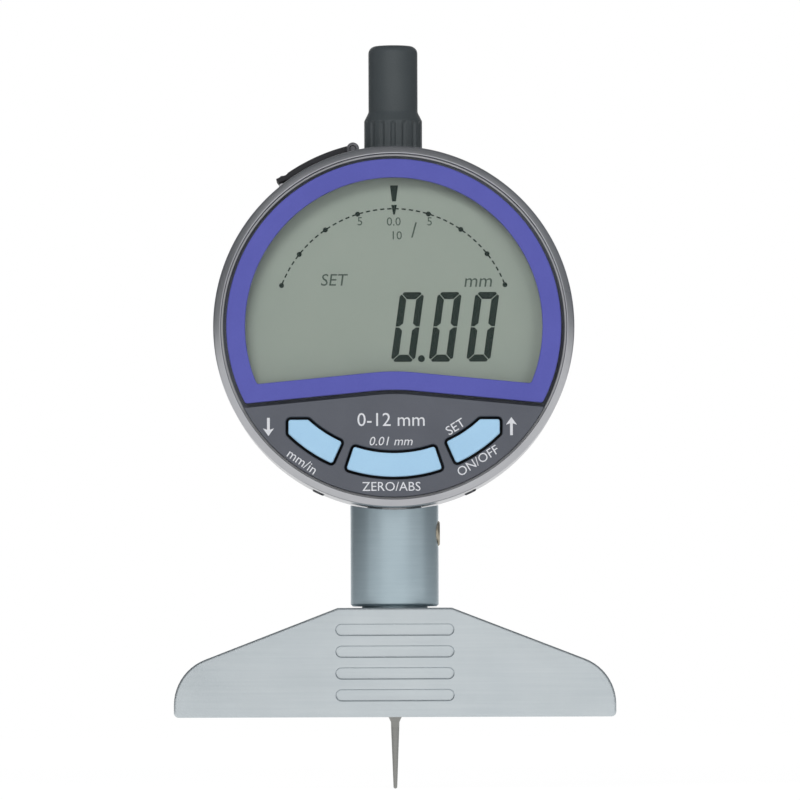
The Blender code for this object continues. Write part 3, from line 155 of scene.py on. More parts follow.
def unit(vectors: np.ndarray) -> np.ndarray:
    """The vectors scaled to length one, and zero where they have no length."""
    length = np.linalg.norm(vectors, axis=-1, keepdims=True)
    return np.divide(vectors, length, out=np.zeros_like(vectors), where=length > 0)


def arc(centre: Point, radius: float, start: float, end: float, count: int) -> np.ndarray:
    """Points on a circle: the centre plus radius times (cosine, sine) of evenly spaced angles.

    Args:
        centre: the circle's centre.
        radius: its radius.
        start: first angle from the +x axis.
        end: last angle.
        count: number of points, both ends included.

    Returns:
        An array of `count` points.
    """
    angles = np.linspace(start, end, count)
    return np.column_stack([centre[0] + radius * np.cos(angles), centre[1] + radius * np.sin(angles)])


def bow(radius: float, start: float, end: float, count: int, clear: float) -> np.ndarray:
    """An arc about the origin, with a corner at each end and no other point close to them.

    Args:
        radius: the arc's radius.
        start: first angle from the +x axis.
        end: last angle.
        count: number of points between the two corners.
        clear: how far those points stay away from the corners.

    Returns:
        The points: both corners can be rounded later without reaching past a neighbour.
    """
    step = np.sign(end - start) * clear / radius
    angles = np.concatenate([[start], np.linspace(start + step, end - step, count), [end]])
    return radius * np.column_stack([np.cos(angles), np.sin(angles)])


def soften(path: Points, radius: float | np.ndarray, steps: int = 6, closed: bool = True) -> np.ndarray:
    """Rounds the sharp corners of a path with arcs that are tangent to both sides.

    At a corner that turns by an angle w, the arc leaves the sides at radius * tan(w / 2) from the
    corner, and its points are the spherical mix of the two spokes from its centre.

    Args:
        path: the corners, as rows of (x, y).
        radius: one radius, or one for each corner.
        steps: points on each arc.
        closed: whether the last corner joins the first.

    Returns:
        The rounded path. Corners that turn by less than the least turn stay as they are.
    """
    path = np.asarray(path)
    before = unit(np.roll(path, 1, axis=0) - path)
    after = unit(np.roll(path, -1, axis=0) - path)
    turn = pi - np.arccos(np.clip(np.sum(before * after, axis=1), -1.0, 1.0))
    sharp = turn > LEAST_TURN
    if not closed:
        sharp[[0, -1]] = False
    count = np.where(sharp, steps, 1)
    pick = np.repeat(np.arange(len(path)), count)
    position = np.arange(len(pick)) - np.repeat(np.cumsum(count) - count, count)
    share = (position / (steps - 1))[:, None]
    size = np.where(sharp, np.maximum(radius, LEAST_RADIUS), 0.0)
    reach = (size * np.tan(np.where(sharp, turn, 0.0) / 2))[:, None]
    start, end = path + before * reach, path + after * reach
    middle = path + unit(before + after) * (size / np.cos(np.where(sharp, turn, 0.0) / 2))[:, None]
    angle = np.where(sharp, turn, 1.0)[pick][:, None]
    first, last = (start - middle)[pick], (end - middle)[pick]
    return middle[pick] + (np.sin((1 - share) * angle) * first + np.sin(share * angle) * last) / np.sin(angle)


def inset_corners(corners: Points, distance: float) -> np.ndarray:
    """Moves the corners of an anticlockwise polygon inwards, so that each side moves by a distance.

    Args:
        corners: rows of (x, y), anticlockwise.
        distance: how far each side moves in.

    Returns:
        The new corners: each old one plus the sum of its sides' inward normals over one plus their
        product, times the distance.
    """
    corners = np.asarray(corners)
    along = unit(np.roll(corners, -1, axis=0) - corners)
    normal = np.column_stack([-along[:, 1], along[:, 0]])
    previous = np.roll(normal, 1, axis=0)
    share = 1.0 + np.sum(normal * previous, axis=1, keepdims=True)
    return corners + (normal + previous) / share * distance


def polygon(corners: Points, radius: float, steps: int = 6) -> Outline:
    """An outline with rounded corners, as a function of its inset.

    Args:
        corners: rows of (x, y), anticlockwise.
        radius: the corners' radius at no inset.
        steps: points on each corner.

    Returns:
        A function from an inset to the outline that lies that far inside.
    """
    return lambda inset: soften(inset_corners(corners, inset), radius - inset, steps)


def slot(length: float, width: float, turn: float = 0.0) -> Outline:
    """A slot with round ends about the origin, as a function of its inset.

    Args:
        length: from end to end.
        width: from side to side.
        turn: angle from the x axis.

    Returns:
        A function from an inset to the slot's outline.
    """
    axis = np.array([[cos(turn), sin(turn)], [-sin(turn), cos(turn)]])

    def outline(inset: float) -> np.ndarray:
        """Two half circles whose centres stay in place.

        Args:
            inset: how far the outline moves in.

        Returns:
            The outline, the right half first.
        """
        reach, radius = (length - width) / 2, width / 2 - inset
        right = arc((reach, 0.0), radius, -pi / 2, pi / 2, 13)
        left = arc((-reach, 0.0), radius, pi / 2, 3 * pi / 2, 13)
        return np.vstack([right, left]) @ axis

    return outline


def edge_section(
    low: float, high: float, low_radius: float, high_radius: float, steps: int = 5
) -> list[Point]:
    """A slab's edge from its back to its front, as insets and levels on two quarter circles.

    Args:
        low: level of the back face.
        high: level of the front face.
        low_radius: radius of the back edge.
        high_radius: radius of the front edge.
        steps: points on each quarter circle.

    Returns:
        Pairs of inset and level.
    """
    angles = np.linspace(0.0, pi / 2, steps)
    back = [(low_radius * (1 - sin(a)), low + low_radius * (1 - cos(a))) for a in angles]
    front = [(high_radius * (1 - cos(a)), high - high_radius * (1 - sin(a))) for a in angles]
    return back + front


def link(name: str, data: bpy.types.ID) -> Piece:
    """Puts a new object into the scene, at the origin.

    Args:
        name: the object's name.
        data: its mesh, curve, light or camera.

    Returns:
        The object.
    """
    obj = bpy.data.objects.new(name, data)
    bpy.context.scene.collection.objects.link(obj)
    return obj


def tidy(mesh: bpy.types.Mesh, out: Vector | None = None) -> None:
    """Welds points that coincide and turns the faces outwards; a closed mesh is shaded as well.

    Args:
        mesh: the mesh.
        out: the way that all the faces of a flat mesh turn, None for a closed mesh.
    """
    shape = bmesh.new()
    shape.from_mesh(mesh)
    bmesh.ops.remove_doubles(shape, verts=shape.verts, dist=WELD)
    if out is None:
        bmesh.ops.recalc_face_normals(shape, faces=shape.faces)
    else:
        shape.normal_update()
        bmesh.ops.reverse_faces(shape, faces=[face for face in shape.faces if face.normal.dot(out) < 0])
    shape.to_mesh(mesh)
    shape.free()
    if out is None:
        mesh.shade_smooth()
        mesh.set_sharp_from_angle(angle=SHARP)


def skin(name: str, loops: np.ndarray, place: Place, ring: bool = False, caps: bool = True) -> Piece:
    """A surface over closed loops: quad (i, j) joins points j and j + 1 of loops i and i + 1.

    Args:
        name: the piece's name.
        loops: points as [loop, point, coordinate], in the place's own axes.
        place: where the piece stands.
        ring: whether the last loop joins the first, as on a ring's section.
        caps: whether the end loops are closed by one face each.

    Returns:
        The piece.
    """
    rows, steps, _ = loops.shape
    row = np.arange(rows if ring else rows - 1)[:, None]
    step = np.arange(steps)[None]
    here, there = row * steps, (row + 1) % rows * steps
    side = (step + 1) % steps
    quads = np.stack(np.broadcast_arrays(here + step, here + side, there + side, there + step), axis=-1)
    faces = quads.reshape(-1, 4).tolist()
    if caps and not ring:
        faces.append(list(range(steps - 1, -1, -1)))
        faces.append(list(range((rows - 1) * steps, rows * steps)))
    mesh = bpy.data.meshes.new(name)
    mesh.from_pydata(place.world(loops.reshape(-1, 3)).tolist(), [], faces)
    tidy(mesh)
    return link(name, mesh)


def raised(points: np.ndarray, level: float) -> np.ndarray:
    """Flat points, as rows of (x, y), with their level as a third column."""
    return np.column_stack([points, np.full(len(points), level)])


def slab(name: str, outline: Outline, section: list[Point], place: Place) -> Piece:
    """Carries an edge section round an outline: each loop is the outline at one inset and level.

    Args:
        name: the piece's name.
        outline: the outline as a function of its inset.
        section: insets and levels from the back to the front.
        place: where the piece stands.

    Returns:
        The piece, closed at both ends.
    """
    return skin(name, np.array([raised(outline(inset), level) for inset, level in section]), place)


def lathe(
    name: str,
    profile: Points,
    place: Place,
    steps: int = ROUND,
    ring: bool = False,
    centre: Point = (0.0, 0.0),
) -> Piece:
    """Turns a profile about the place's `out` axis: radius times (cosine, sine) at each height.

    Args:
        name: the piece's name.
        profile: rows of (radius, height).
        place: where the axis stands.
        steps: steps of the turn.
        ring: whether the profile is closed.
        centre: the axis, across the place's other two axes.

    Returns:
        The piece.
    """
    angles = np.linspace(0.0, tau, steps, endpoint=False)[None]
    radius, height = np.hsplit(np.asarray(profile), 2)
    x = centre[0] + radius * np.cos(angles)
    y = centre[1] + radius * np.sin(angles)
    loops = np.stack(np.broadcast_arrays(x, y, height), axis=-1)
    return skin(name, loops, place, ring, caps=False)


def rounded(corners: list[Point], radius: float, steps: int = 5) -> np.ndarray:
    """An open profile whose corners are rounded, as rows of (radius, height)."""
    return soften(corners, radius, steps, closed=False)


def bar_shape(radius: float, low: float, high: float) -> list[Point]:
    """The profile of a plain round bar between two heights, to be turned or carried."""
    return [(0.0, low), (radius, low), (radius, high), (0.0, high)]


def bar(name: str, radius: float, low: float, high: float, place: Place, centre: Point = (0.0, 0.0)) -> Piece:
    """A plain round bar between two heights of a place."""
    return lathe(name, bar_shape(radius, low, high), place, BAR_STEPS, centre=centre)


def baked(obj: Piece) -> Piece:
    """Replaces a piece's modifiers by the mesh that they make.

    Args:
        obj: the piece.

    Returns:
        The same piece.
    """
    graph = bpy.context.evaluated_depsgraph_get()
    mesh = bpy.data.meshes.new_from_object(obj.evaluated_get(graph))
    obj.modifiers.clear()
    obj.data = mesh
    return obj


def carved(obj: Piece, *others: Piece, operation: str = "DIFFERENCE") -> Piece:
    """Cuts other shapes out of a piece, or joins them to it, and removes them.

    Args:
        obj: the piece.
        others: the cutters or additions.
        operation: the Boolean's name.

    Returns:
        The piece, with its new mesh.
    """
    for other in others:
        step = obj.modifiers.new(other.name, "BOOLEAN")
        step.operation = operation
        step.solver = "EXACT"
        step.object = other
    baked(obj)
    for other in others:
        bpy.data.objects.remove(other)
    tidy(obj.data)
    return obj


def leaned(points: np.ndarray, lean: float) -> np.ndarray:
    """The points leaned to the right: x gains y times the tangent of the lean."""
    return points @ np.array([(1.0, 0.0), (tan(lean), 1.0)])


class Print:
    """Flat printed shapes that are gathered into one piece of thin ink."""

    def __init__(self) -> None:
        """Starts with nothing printed."""
        self.points: list[np.ndarray] = []
        self.faces: list[list[int]] = []
        self.count = 0

    def add(self, points: np.ndarray, faces: list[list[int]]) -> None:
        """Adds points and the faces that use them.

        Args:
            points: rows of (x, y).
            faces: lists of indices into the points.
        """
        self.faces += [[index + self.count for index in face] for face in faces]
        self.points.append(points)
        self.count += len(points)

    def shape(self, points: np.ndarray) -> None:
        """Adds one filled outline."""
        self.add(points, [list(range(len(points)))])

    def text(self, words: str, size: float, centre: Point, turn: float, lean: float) -> None:
        """Adds words, sheared and turned: x gains height times the tangent of the lean.

        Args:
            words: what is printed.
            size: the letters' height.
            centre: the words' centre.
            turn: angle from the x axis, anticlockwise.
            lean: the letters' slant.
        """
        curve = bpy.data.curves.new("words", "FONT")
        curve.body = words
        curve.align_x = "CENTER"
        curve.align_y = "CENTER"
        curve.resolution_u = 3
        guide = link("words", curve)
        graph = bpy.context.evaluated_depsgraph_get()
        mesh = bpy.data.meshes.new_from_object(guide.evaluated_get(graph))
        flat = np.empty(3 * len(mesh.vertices))
        mesh.vertices.foreach_get("co", flat)
        points = leaned(flat.reshape(-1, 3)[:, :2] * (size / CAPITAL), lean)
        axes = np.array([[cos(turn), sin(turn)], [-sin(turn), cos(turn)]])
        self.add(points @ axes + np.array(centre), [list(face.vertices) for face in mesh.polygons])
        bpy.data.objects.remove(guide)
        bpy.data.meshes.remove(mesh)
        bpy.data.curves.remove(curve)

    def rows(self, *rows: tuple[str, float, float, float, float, float]) -> None:
        """Adds rows of words, their size, x and y in millimetres, their turn and their lean."""
        for words, size, x, y, turn, lean in rows:
            self.text(words, size * MM, (x * MM, y * MM), turn, lean)

    def piece(self, name: str, level: float) -> Piece:
        """Makes the piece: the flat shapes at a level of the dial, given the ink's thickness outwards.

        Args:
            name: the piece's name.
            level: the surface that it is printed on.

        Returns:
            The piece.
        """
        mesh = bpy.data.meshes.new(name)
        mesh.from_pydata(DIAL.world(raised(np.vstack(self.points), level)).tolist(), [], self.faces)
        tidy(mesh, DIAL.out)
        obj = link(name, mesh)
        step = obj.modifiers.new("ink", "SOLIDIFY")
        step.thickness = INK
        step.offset = 1.0
        return baked(obj)


def linear(red: int, green: int, blue: int) -> tuple[float, float, float, float]:
    """A screen colour as the linear colour that shaders take, by the standard screen curve.

    Args:
        red: from 0 to 255.
        green: from 0 to 255.
        blue: from 0 to 255.

    Returns:
        The linear colour and full opacity.
    """
    values = np.array([red, green, blue]) / 255
    light = np.where(values <= 0.04045, values / 12.92, ((values + 0.055) / 1.055) ** 2.4)
    return (*light.tolist(), 1.0)


class Tree:
    """Adds nodes to a node tree and links what goes into them."""

    def __init__(self, tree: bpy.types.NodeTree) -> None:
        """Works on this tree."""
        self.tree = tree

    def add(self, kind: str, *inputs: object, **settings: object) -> bpy.types.Node:
        """Adds a node.

        Args:
            kind: the node's type name, without the ShaderNode in front.
            inputs: values or sockets for its first inputs, None where one stays as it is.
            settings: its properties.

        Returns:
            The node.
        """
        node = self.tree.nodes.new("ShaderNode" + kind)
        for key, value in settings.items():
            setattr(node, key, value)
        for socket, value in zip(node.inputs, inputs):
            self.feed(socket, value)
        return node

    def feed(self, socket: Socket, value: object) -> None:
        """Links a socket to an output, or sets its value.

        Args:
            socket: the input.
            value: an output, a plain value, or None to leave the input as it is.
        """
        if isinstance(value, Socket):
            self.tree.links.new(value, socket)
        elif value is not None:
            socket.default_value = value

    def mix(self, share: object, first: object, second: object) -> Socket:
        """Mixes two colours.

        Args:
            share: the second colour's share.
            first: the first colour.
            second: the second colour.

        Returns:
            The colour between them.
        """
        node = self.add("Mix", data_type="RGBA")
        for socket, value in zip((node.inputs[0], node.inputs[6], node.inputs[7]), (share, first, second)):
            self.feed(socket, value)
        return node.outputs[2]

    def remap(self, value: Socket, low: float, high: float, start: float = 0.0, end: float = 1.0) -> Socket:
        """A value carried from one range over to another, and held inside it."""
        return self.add("MapRange", value, low, high, start, end).outputs[0]

    def math(self, operation: str, *inputs: object, clamp: bool = False) -> Socket:
        """The result of a Math node."""
        return self.add("Math", *inputs, operation=operation, use_clamp=clamp).outputs[0]


class SharedGroup(Tree):
    """A node group that several finishes share."""

    def __init__(self, name: str, inputs: dict[str, float | Vector | None], *outputs: str) -> None:
        """Makes the group and its input end.

        Args:
            name: the group's name.
            inputs: each input's default; a number makes it a number, all else a vector.
            outputs: the names of its outputs, all of them numbers.
        """
        super().__init__(bpy.data.node_groups.new(name, "ShaderNodeTree"))
        for label, value in inputs.items():
            kind = "NodeSocketFloat" if isinstance(value, float) else "NodeSocketVector"
            socket = self.tree.interface.new_socket(label, in_out="INPUT", socket_type=kind)
            if value is not None:
                socket.default_value = value
        for label in outputs:
            self.tree.interface.new_socket(label, in_out="OUTPUT", socket_type="NodeSocketFloat")
        self.given = self.tree.nodes.new("NodeGroupInput").outputs

    def noise(self, vector: Socket, scale: float | Socket, detail: float, roughness: float) -> Socket:
        """A noise between 0 and 1 over a vector."""
        return self.add("TexNoise", vector, None, scale, detail, roughness).outputs[0]

    def done(self, *results: Socket) -> bpy.types.NodeTree:
        """Links the results to the outputs.

        Args:
            results: one for each output.

        Returns:
            The finished group.
        """
        for socket, result in zip(self.tree.nodes.new("NodeGroupOutput").inputs, results):
            self.feed(socket, result)
        return self.tree


def emptied(owner: bpy.types.Material | bpy.types.World) -> Tree:
    """Clears the nodes of a material or a world.

    Args:
        owner: the material or the world.

    Returns:
        Its node tree.
    """
    owner.use_nodes = True
    owner.node_tree.nodes.clear()
    return Tree(owner.node_tree)


class Effects:
    """The shader groups that several finishes share, each made once."""

    def __init__(self) -> None:
        """Makes the groups."""
        self.grain = self.make_grain()
        self.lines = self.make_lines()
        self.wear = self.make_wear()
        self.handling = self.make_handling()

    def make_grain(self) -> bpy.types.NodeTree:
        """Fine moulded or blasted grain, and the broad patches in which its tone drifts.

        Returns:
            A group that puts out the grain and the patches, both between 0 and 1.
        """
        inputs = {"Vector": None, "Grain Scale": 4000.0, "Patch Scale": 90.0}
        group = SharedGroup("fine_grain", inputs, "Grain", "Patch")
        vector, grain_scale, patch_scale = list(group.given)[:3]
        grain, patch = group.noise(vector, grain_scale, 3.0, 0.6), group.noise(vector, patch_scale, 4.0, 0.55)
        return group.done(grain, patch)

    def make_lines(self) -> bpy.types.NodeTree:
        """Tool marks: noise that is squeezed across the lines and drawn out along them.

        Returns:
            A group that puts out the lines, between 0 and 1.
        """
        inputs = {"Vector": None, "Squeeze": (1.0, 1.0, 1.0), "Scale": 400.0}
        group = SharedGroup("tool_lines", inputs, "Lines")
        vector, squeeze, scale = list(group.given)[:3]
        squeezed = group.add("VectorMath", vector, squeeze, operation="MULTIPLY").outputs[0]
        return group.done(group.noise(squeezed, scale, 4.0, 0.65))

    def make_wear(self) -> bpy.types.NodeTree:
        """Rubbed edges: where the surface points outwards, broken up by a fine noise.

        Returns:
            A group that puts out the rubbed share, between 0 and 1.
        """
        group = SharedGroup("edge_wear", {"Vector": None, "Amount": 0.5, "Scale": 700.0}, "Mask")
        vector, amount, scale = list(group.given)[:3]
        edge = group.remap(group.add("NewGeometry").outputs["Pointiness"], *EDGE_RANGE)
        broken = group.remap(group.noise(vector, scale, 3.0, 0.6), *WEAR_NOISE_RANGE, LEAST_WEAR)
        return group.done(group.math("MULTIPLY", group.math("MULTIPLY", edge, broken), amount, clamp=True))

    def make_handling(self) -> bpy.types.NodeTree:
        """Finger smudges and dust: soft patches that dull a gloss.

        Returns:
            A group that puts out a roughness, the given one plus the patches' share of the spread.
        """
        inputs = {"Vector": None, "Roughness": 0.4, "Spread": 0.1, "Grain": 0.5}
        group = SharedGroup("handling", inputs, "Roughness")
        vector, roughness, spread, grain = list(group.given)[:4]
        smudge = group.noise(vector, SMUDGE_SCALE, 3.0, 0.5)
        both = group.math("ADD", smudge, group.math("MULTIPLY", grain, GRAIN_IN_SMUDGE))
        shifted = group.math("MULTIPLY", group.math("SUBTRACT", both, SMUDGE_MIDDLE), spread)
        return group.done(group.math("ADD", roughness, shifted, clamp=True))


class Pattern(Enum):
    """How a finish's fine marks run over a piece."""

    GRAIN = (1.0, 1.0, 1.0)
    ALONG_X = (0.02, 1.0, 1.0)
    AROUND_Z = (0.05, 0.05, 1.0)
    AROUND_Y = (0.05, 1.0, 0.05)


@dataclass(frozen=True)
class Finish:
    """A surface finish: its two tones, gloss, grain and wear."""

    name: str
    colour: tuple[int, int, int]
    tone: tuple[int, int, int]
    roughness: float = 0.45
    spread: float = 0.15
    metallic: float = 0.0
    pattern: Pattern = Pattern.GRAIN
    scale: float = 4000.0
    patch: float = 110.0
    depth: float = 0.006 * MM
    worn: tuple[int, int, int] = (225, 226, 228)
    wear: float = 0.0
    specular: float = 0.5
    alpha: float = 1.0

    def material(self, effects: Effects) -> bpy.types.Material:
        """Builds the material: tones mixed by the patches and marks, worn edges, gloss and a fine bump.

        Args:
            effects: the shared shader groups.

        Returns:
            The material.
        """
        material = bpy.data.materials.new(self.name)
        tree = emptied(material)
        vector = tree.add("TexCoord").outputs["Object"]
        marks, patches = tree.add("Group", vector, self.scale, self.patch, node_tree=effects.grain).outputs
        if self.pattern is not Pattern.GRAIN:
            squeeze = self.pattern.value
            marks = tree.add("Group", vector, squeeze, self.scale, node_tree=effects.lines).outputs[0]
        broad, fine = tree.math("MULTIPLY", patches, PATCH_SHARE), tree.math("MULTIPLY", marks, MARK_SHARE)
        drift = tree.remap(tree.math("ADD", broad, fine), *DRIFT_RANGE)
        colour = tree.mix(drift, linear(*self.colour), linear(*self.tone))
        if self.wear:
            worn = tree.add("Group", vector, self.wear, node_tree=effects.wear).outputs[0]
            colour = tree.mix(worn, colour, linear(*self.worn))
        gloss = tree.add("Group", vector, self.roughness, self.spread, marks, node_tree=effects.handling)
        bump = tree.add("Bump", BUMP_STRENGTH, self.depth)
        tree.feed(bump.inputs["Height"], marks)
        shader = tree.add("BsdfPrincipled")
        linked = {"Base Color": colour, "Roughness": gloss.outputs[0], "Normal": bump.outputs[0]}
        plain = {"Metallic": self.metallic, "Specular IOR Level": self.specular, "Alpha": self.alpha}
        for label, value in (linked | plain).items():
            tree.feed(shader.inputs[label], value)
        tree.add("OutputMaterial", shader.outputs[0])
        return material


BASE = Finish(
    "ground_base", (206, 213, 216), (197, 205, 209), 0.42, 0.12, 0.9,
    Pattern.ALONG_X, 2600.0, 60.0
)
COLUMN = Finish(
    "turned_column", (180, 196, 203), (169, 186, 194), 0.36, 0.1, 0.92,
    Pattern.AROUND_Z, 3000.0
)
CASE = Finish("case_rim", (188, 189, 192), (178, 179, 183), 0.3, 0.12, 0.95, Pattern.AROUND_Y, 2400.0)
POLISHED = Finish(
    "polished_steel", (188, 189, 190), (178, 179, 181), 0.26, 0.1, 1.0,
    Pattern.AROUND_Z, 3600.0
)
NEEDLE = Finish(
    "needle_steel", (150, 150, 147), (138, 138, 135), 0.3, 0.1, 0.95,
    Pattern.AROUND_Z, 5200.0
)
CLAMP = Finish("clamp_screw_steel", (170, 160, 138), (150, 140, 118), 0.38, 0.12, 0.9, wear=0.5)
DARK_STEEL = Finish(
    "black_steel", (58, 58, 62), (44, 44, 48), 0.42, 0.15, 0.7,
    wear=0.7, worn=(150, 150, 155)
)
BRASS = Finish(
    "turned_brass", (190, 165, 110), (172, 147, 92), 0.34, 0.12, 1.0,
    Pattern.AROUND_Z, 2600.0
)
PLATE = Finish(
    "face_plate_grey", (99, 102, 110), (92, 95, 103), 0.6, 0.12,
    scale=7000.0, depth=0.01 * MM, specular=0.35
)
FRAME = Finish("frame_blue", (92, 95, 181), (86, 89, 174), 0.42, 0.12, scale=5200.0, specular=0.4)
KEY = Finish("key_blue", (179, 219, 247), (172, 213, 243), 0.5, 0.12, scale=6000.0, specular=0.35)
CAP = Finish(
    "cap_charcoal", (72, 78, 80), (64, 70, 73), 0.5, 0.15,
    scale=5200.0, wear=0.35, worn=(110, 114, 116)
)
BLACK = Finish(
    "moulded_black", (44, 45, 47), (38, 39, 41), 0.55, 0.15,
    scale=5200.0, wear=0.3, worn=(86, 88, 90)
)
RUBBER = Finish("black_rubber", (58, 58, 61), (49, 49, 52), 0.75, 0.12, scale=6400.0, depth=0.012 * MM)
LCD = Finish(
    "display_glass", (171, 181, 170), (166, 177, 166), 0.5, 0.1,
    scale=9000.0, depth=0.002 * MM, specular=0.2
)
SEGMENT = Finish("display_dark", (34, 48, 43), (28, 41, 37), 0.5, 0.1, scale=9000.0, specular=0.2)
FAINT = Finish("display_faint", (84, 98, 90), (76, 90, 82), 0.5, 0.1, scale=9000.0, specular=0.2)
WHITE_INK = Finish("white_print", (232, 233, 236), (224, 225, 230), 0.6, 0.1, scale=9000.0, specular=0.3)
BOARD = Finish("circuit_board_green", (38, 104, 66), (30, 90, 56), 0.45, 0.15, scale=3000.0)
WINDOW = Finish(
    "clear_lens", (96, 104, 100), (86, 94, 90), 0.08, 0.04,
    scale=900.0, depth=0.0005 * MM, alpha=0.06
)


class Wardrobe:
    """The materials, each made from its finish when it is first asked for."""

    def __init__(self, effects: Effects) -> None:
        """Starts with no material made."""
        self.effects = effects
        self.made: dict[str, bpy.types.Material] = {}

    def material(self, finish: Finish) -> bpy.types.Material:
        """The finish's material.

        Args:
            finish: the finish.

        Returns:
            The material, the same one each time.
        """
        if finish.name not in self.made:
            self.made[finish.name] = finish.material(self.effects)
        return self.made[finish.name]

    def dress(self, obj: Piece, finish: Finish) -> None:
        """Gives a piece this finish alone."""
        obj.data.materials.clear()
        obj.data.materials.append(self.material(finish))


@dataclass
class SubAssembly:
    """What all sub-assemblies share: the wardrobe and the way a piece joins the model."""

    wardrobe: Wardrobe

    def settle(self, obj: Piece, finish: Finish, body: str, slot_name: str, *nodes: str) -> None:
        """Dresses a piece, lets it ride on its body and hides the CAD nodes that it replaces.

        Args:
            obj: the piece.
            finish: its finish.
            body: the body that it moves with.
            slot_name: the name of a material slot; not used.
            nodes: the CAD nodes that it replaces.
        """
        self.wardrobe.dress(obj, finish)
        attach(obj, body)
        if nodes:
            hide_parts(*nodes)
        LOG.info("%s rides on %s: %d faces", obj.name, body, len(obj.data.polygons))

    def dress_nodes(self, finish: Finish, *nodes: str) -> None:
        """Gives CAD nodes that keep their shape a finish."""
        for node in nodes:
            self.wardrobe.dress(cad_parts[node], finish)


@dataclass
class MeasuringBase(SubAssembly):
    """The steel base: straight slopes, round shoulders, and four grip slots on both faces."""

    length: float = 63.5 * MM
    depth: float = 16.0 * MM
    top_flat: float = 16.4 * MM
    side_height: float = 6.6 * MM
    shoulder_radius: float = 7.0 * MM
    foot_radius: float = 0.7 * MM
    top_radius: float = 0.5 * MM
    edge: float = 0.4 * MM
    bore_radius: float = 2.6 * MM
    seat_radius: float = 5.05 * MM
    seat_bottom: float = 18.0 * MM
    slot_length: float = 17.1 * MM
    slot_width: float = 1.75 * MM
    slot_pitch: float = 3.13 * MM
    slot_lowest: float = 3.14 * MM
    slot_depth: float = 0.35 * MM
    slot_round: float = 0.8
    slot_count: int = 4

    def outline(self, inset: float) -> np.ndarray:
        """The base from the front: a polygon whose corners have radii of their own.

        Args:
            inset: how far the outline moves in.

        Returns:
            The outline, anticlockwise.
        """
        half, flat = self.length / 2, self.top_flat / 2
        bottom, top = HEIGHTS.base_bottom, HEIGHTS.base_top
        side = bottom + self.side_height
        corners = [(-half, bottom), (half, bottom), (half, side), (flat, top), (-flat, top), (-half, side)]
        foot, shoulder, crown = self.foot_radius, self.shoulder_radius, self.top_radius
        radii = np.array([foot, foot, shoulder, crown, crown, shoulder])
        return soften(inset_corners(corners, inset), radii - inset, 12)

    def slot_cutter(self, index: int, side: int) -> Piece:
        """One grip slot: a shallow trough whose floor has a rounded edge.

        Args:
            index: the slot, counted from the lowest.
            side: 1 for the front, -1 for the back.

        Returns:
            The shape that is cut out.
        """
        height = HEIGHTS.base_bottom + self.slot_lowest + index * self.slot_pitch
        face = self.depth / 2
        section = edge_section(face - self.slot_depth, face + OVERRUN, self.slot_depth * self.slot_round, 0.0)
        place = Place((0.0, 0.0, height), (side, 0.0, 0.0), (0.0, 0.0, 1.0), (0.0, -side, 0.0))
        return slab("slot_cutter", slot(self.slot_length, self.slot_width), section, place)

    def build(self) -> None:
        """Makes the base, with the needle's bore, the column's seat and the slots cut out."""
        section = edge_section(-self.depth / 2, self.depth / 2, self.edge, self.edge)
        base = slab("measuring_base", self.outline, section, FRONT)
        top, bottom = HEIGHTS.base_top + OVERRUN, HEIGHTS.base_bottom - OVERRUN
        seat, bore, floor = self.seat_radius, self.bore_radius, self.seat_bottom
        drill = [(0.0, top), (seat, top), (seat, floor), (bore, floor), (bore, bottom), (0.0, bottom)]
        cutters = [lathe("bore", drill, SPINDLE, SCREW_STEPS)]
        cutters += [self.slot_cutter(index, side) for side in (1, -1) for index in range(self.slot_count)]
        carved(base, *cutters)
        self.settle(base, BASE, "gauge", "ground_steel", "base_beam")


@dataclass(frozen=True)
class SetScrew:
    """A set screw turned about its axis, with a chamfered rim and a hexagon socket."""

    radius: float
    length: float
    hexagon: float
    depth: float
    chamfer: float = 0.14
    rounding: float = 0.05

    def piece(self, name: str, outer: float, place: Place) -> Piece:
        """Makes the screw; its chamfer is a share of the radius, and so is the rounding of its edges.

        Args:
            name: the piece's name.
            outer: distance of its outer end along `out`.
            place: the screw's axis.

        Returns:
            The screw.
        """
        radius, inner, cut = self.radius, outer - self.length, self.chamfer * self.radius
        end = [(0.0, inner), (radius - cut, inner), (radius, inner + cut)]
        face = [(radius, outer - cut), (radius - cut, outer), (0.0, outer)]
        screw = lathe(name, rounded(end + face, self.rounding * radius, 3), place, SCREW_STEPS)
        corners = arc((0.0, 0.0), self.hexagon, 0.0, tau, 7)[:-1]
        outline = polygon(corners, self.rounding * self.hexagon, 3)
        section = [(0.0, outer - self.depth), (0.0, outer + OVERRUN)]
        return carved(screw, slab("hexagon", outline, section, place))


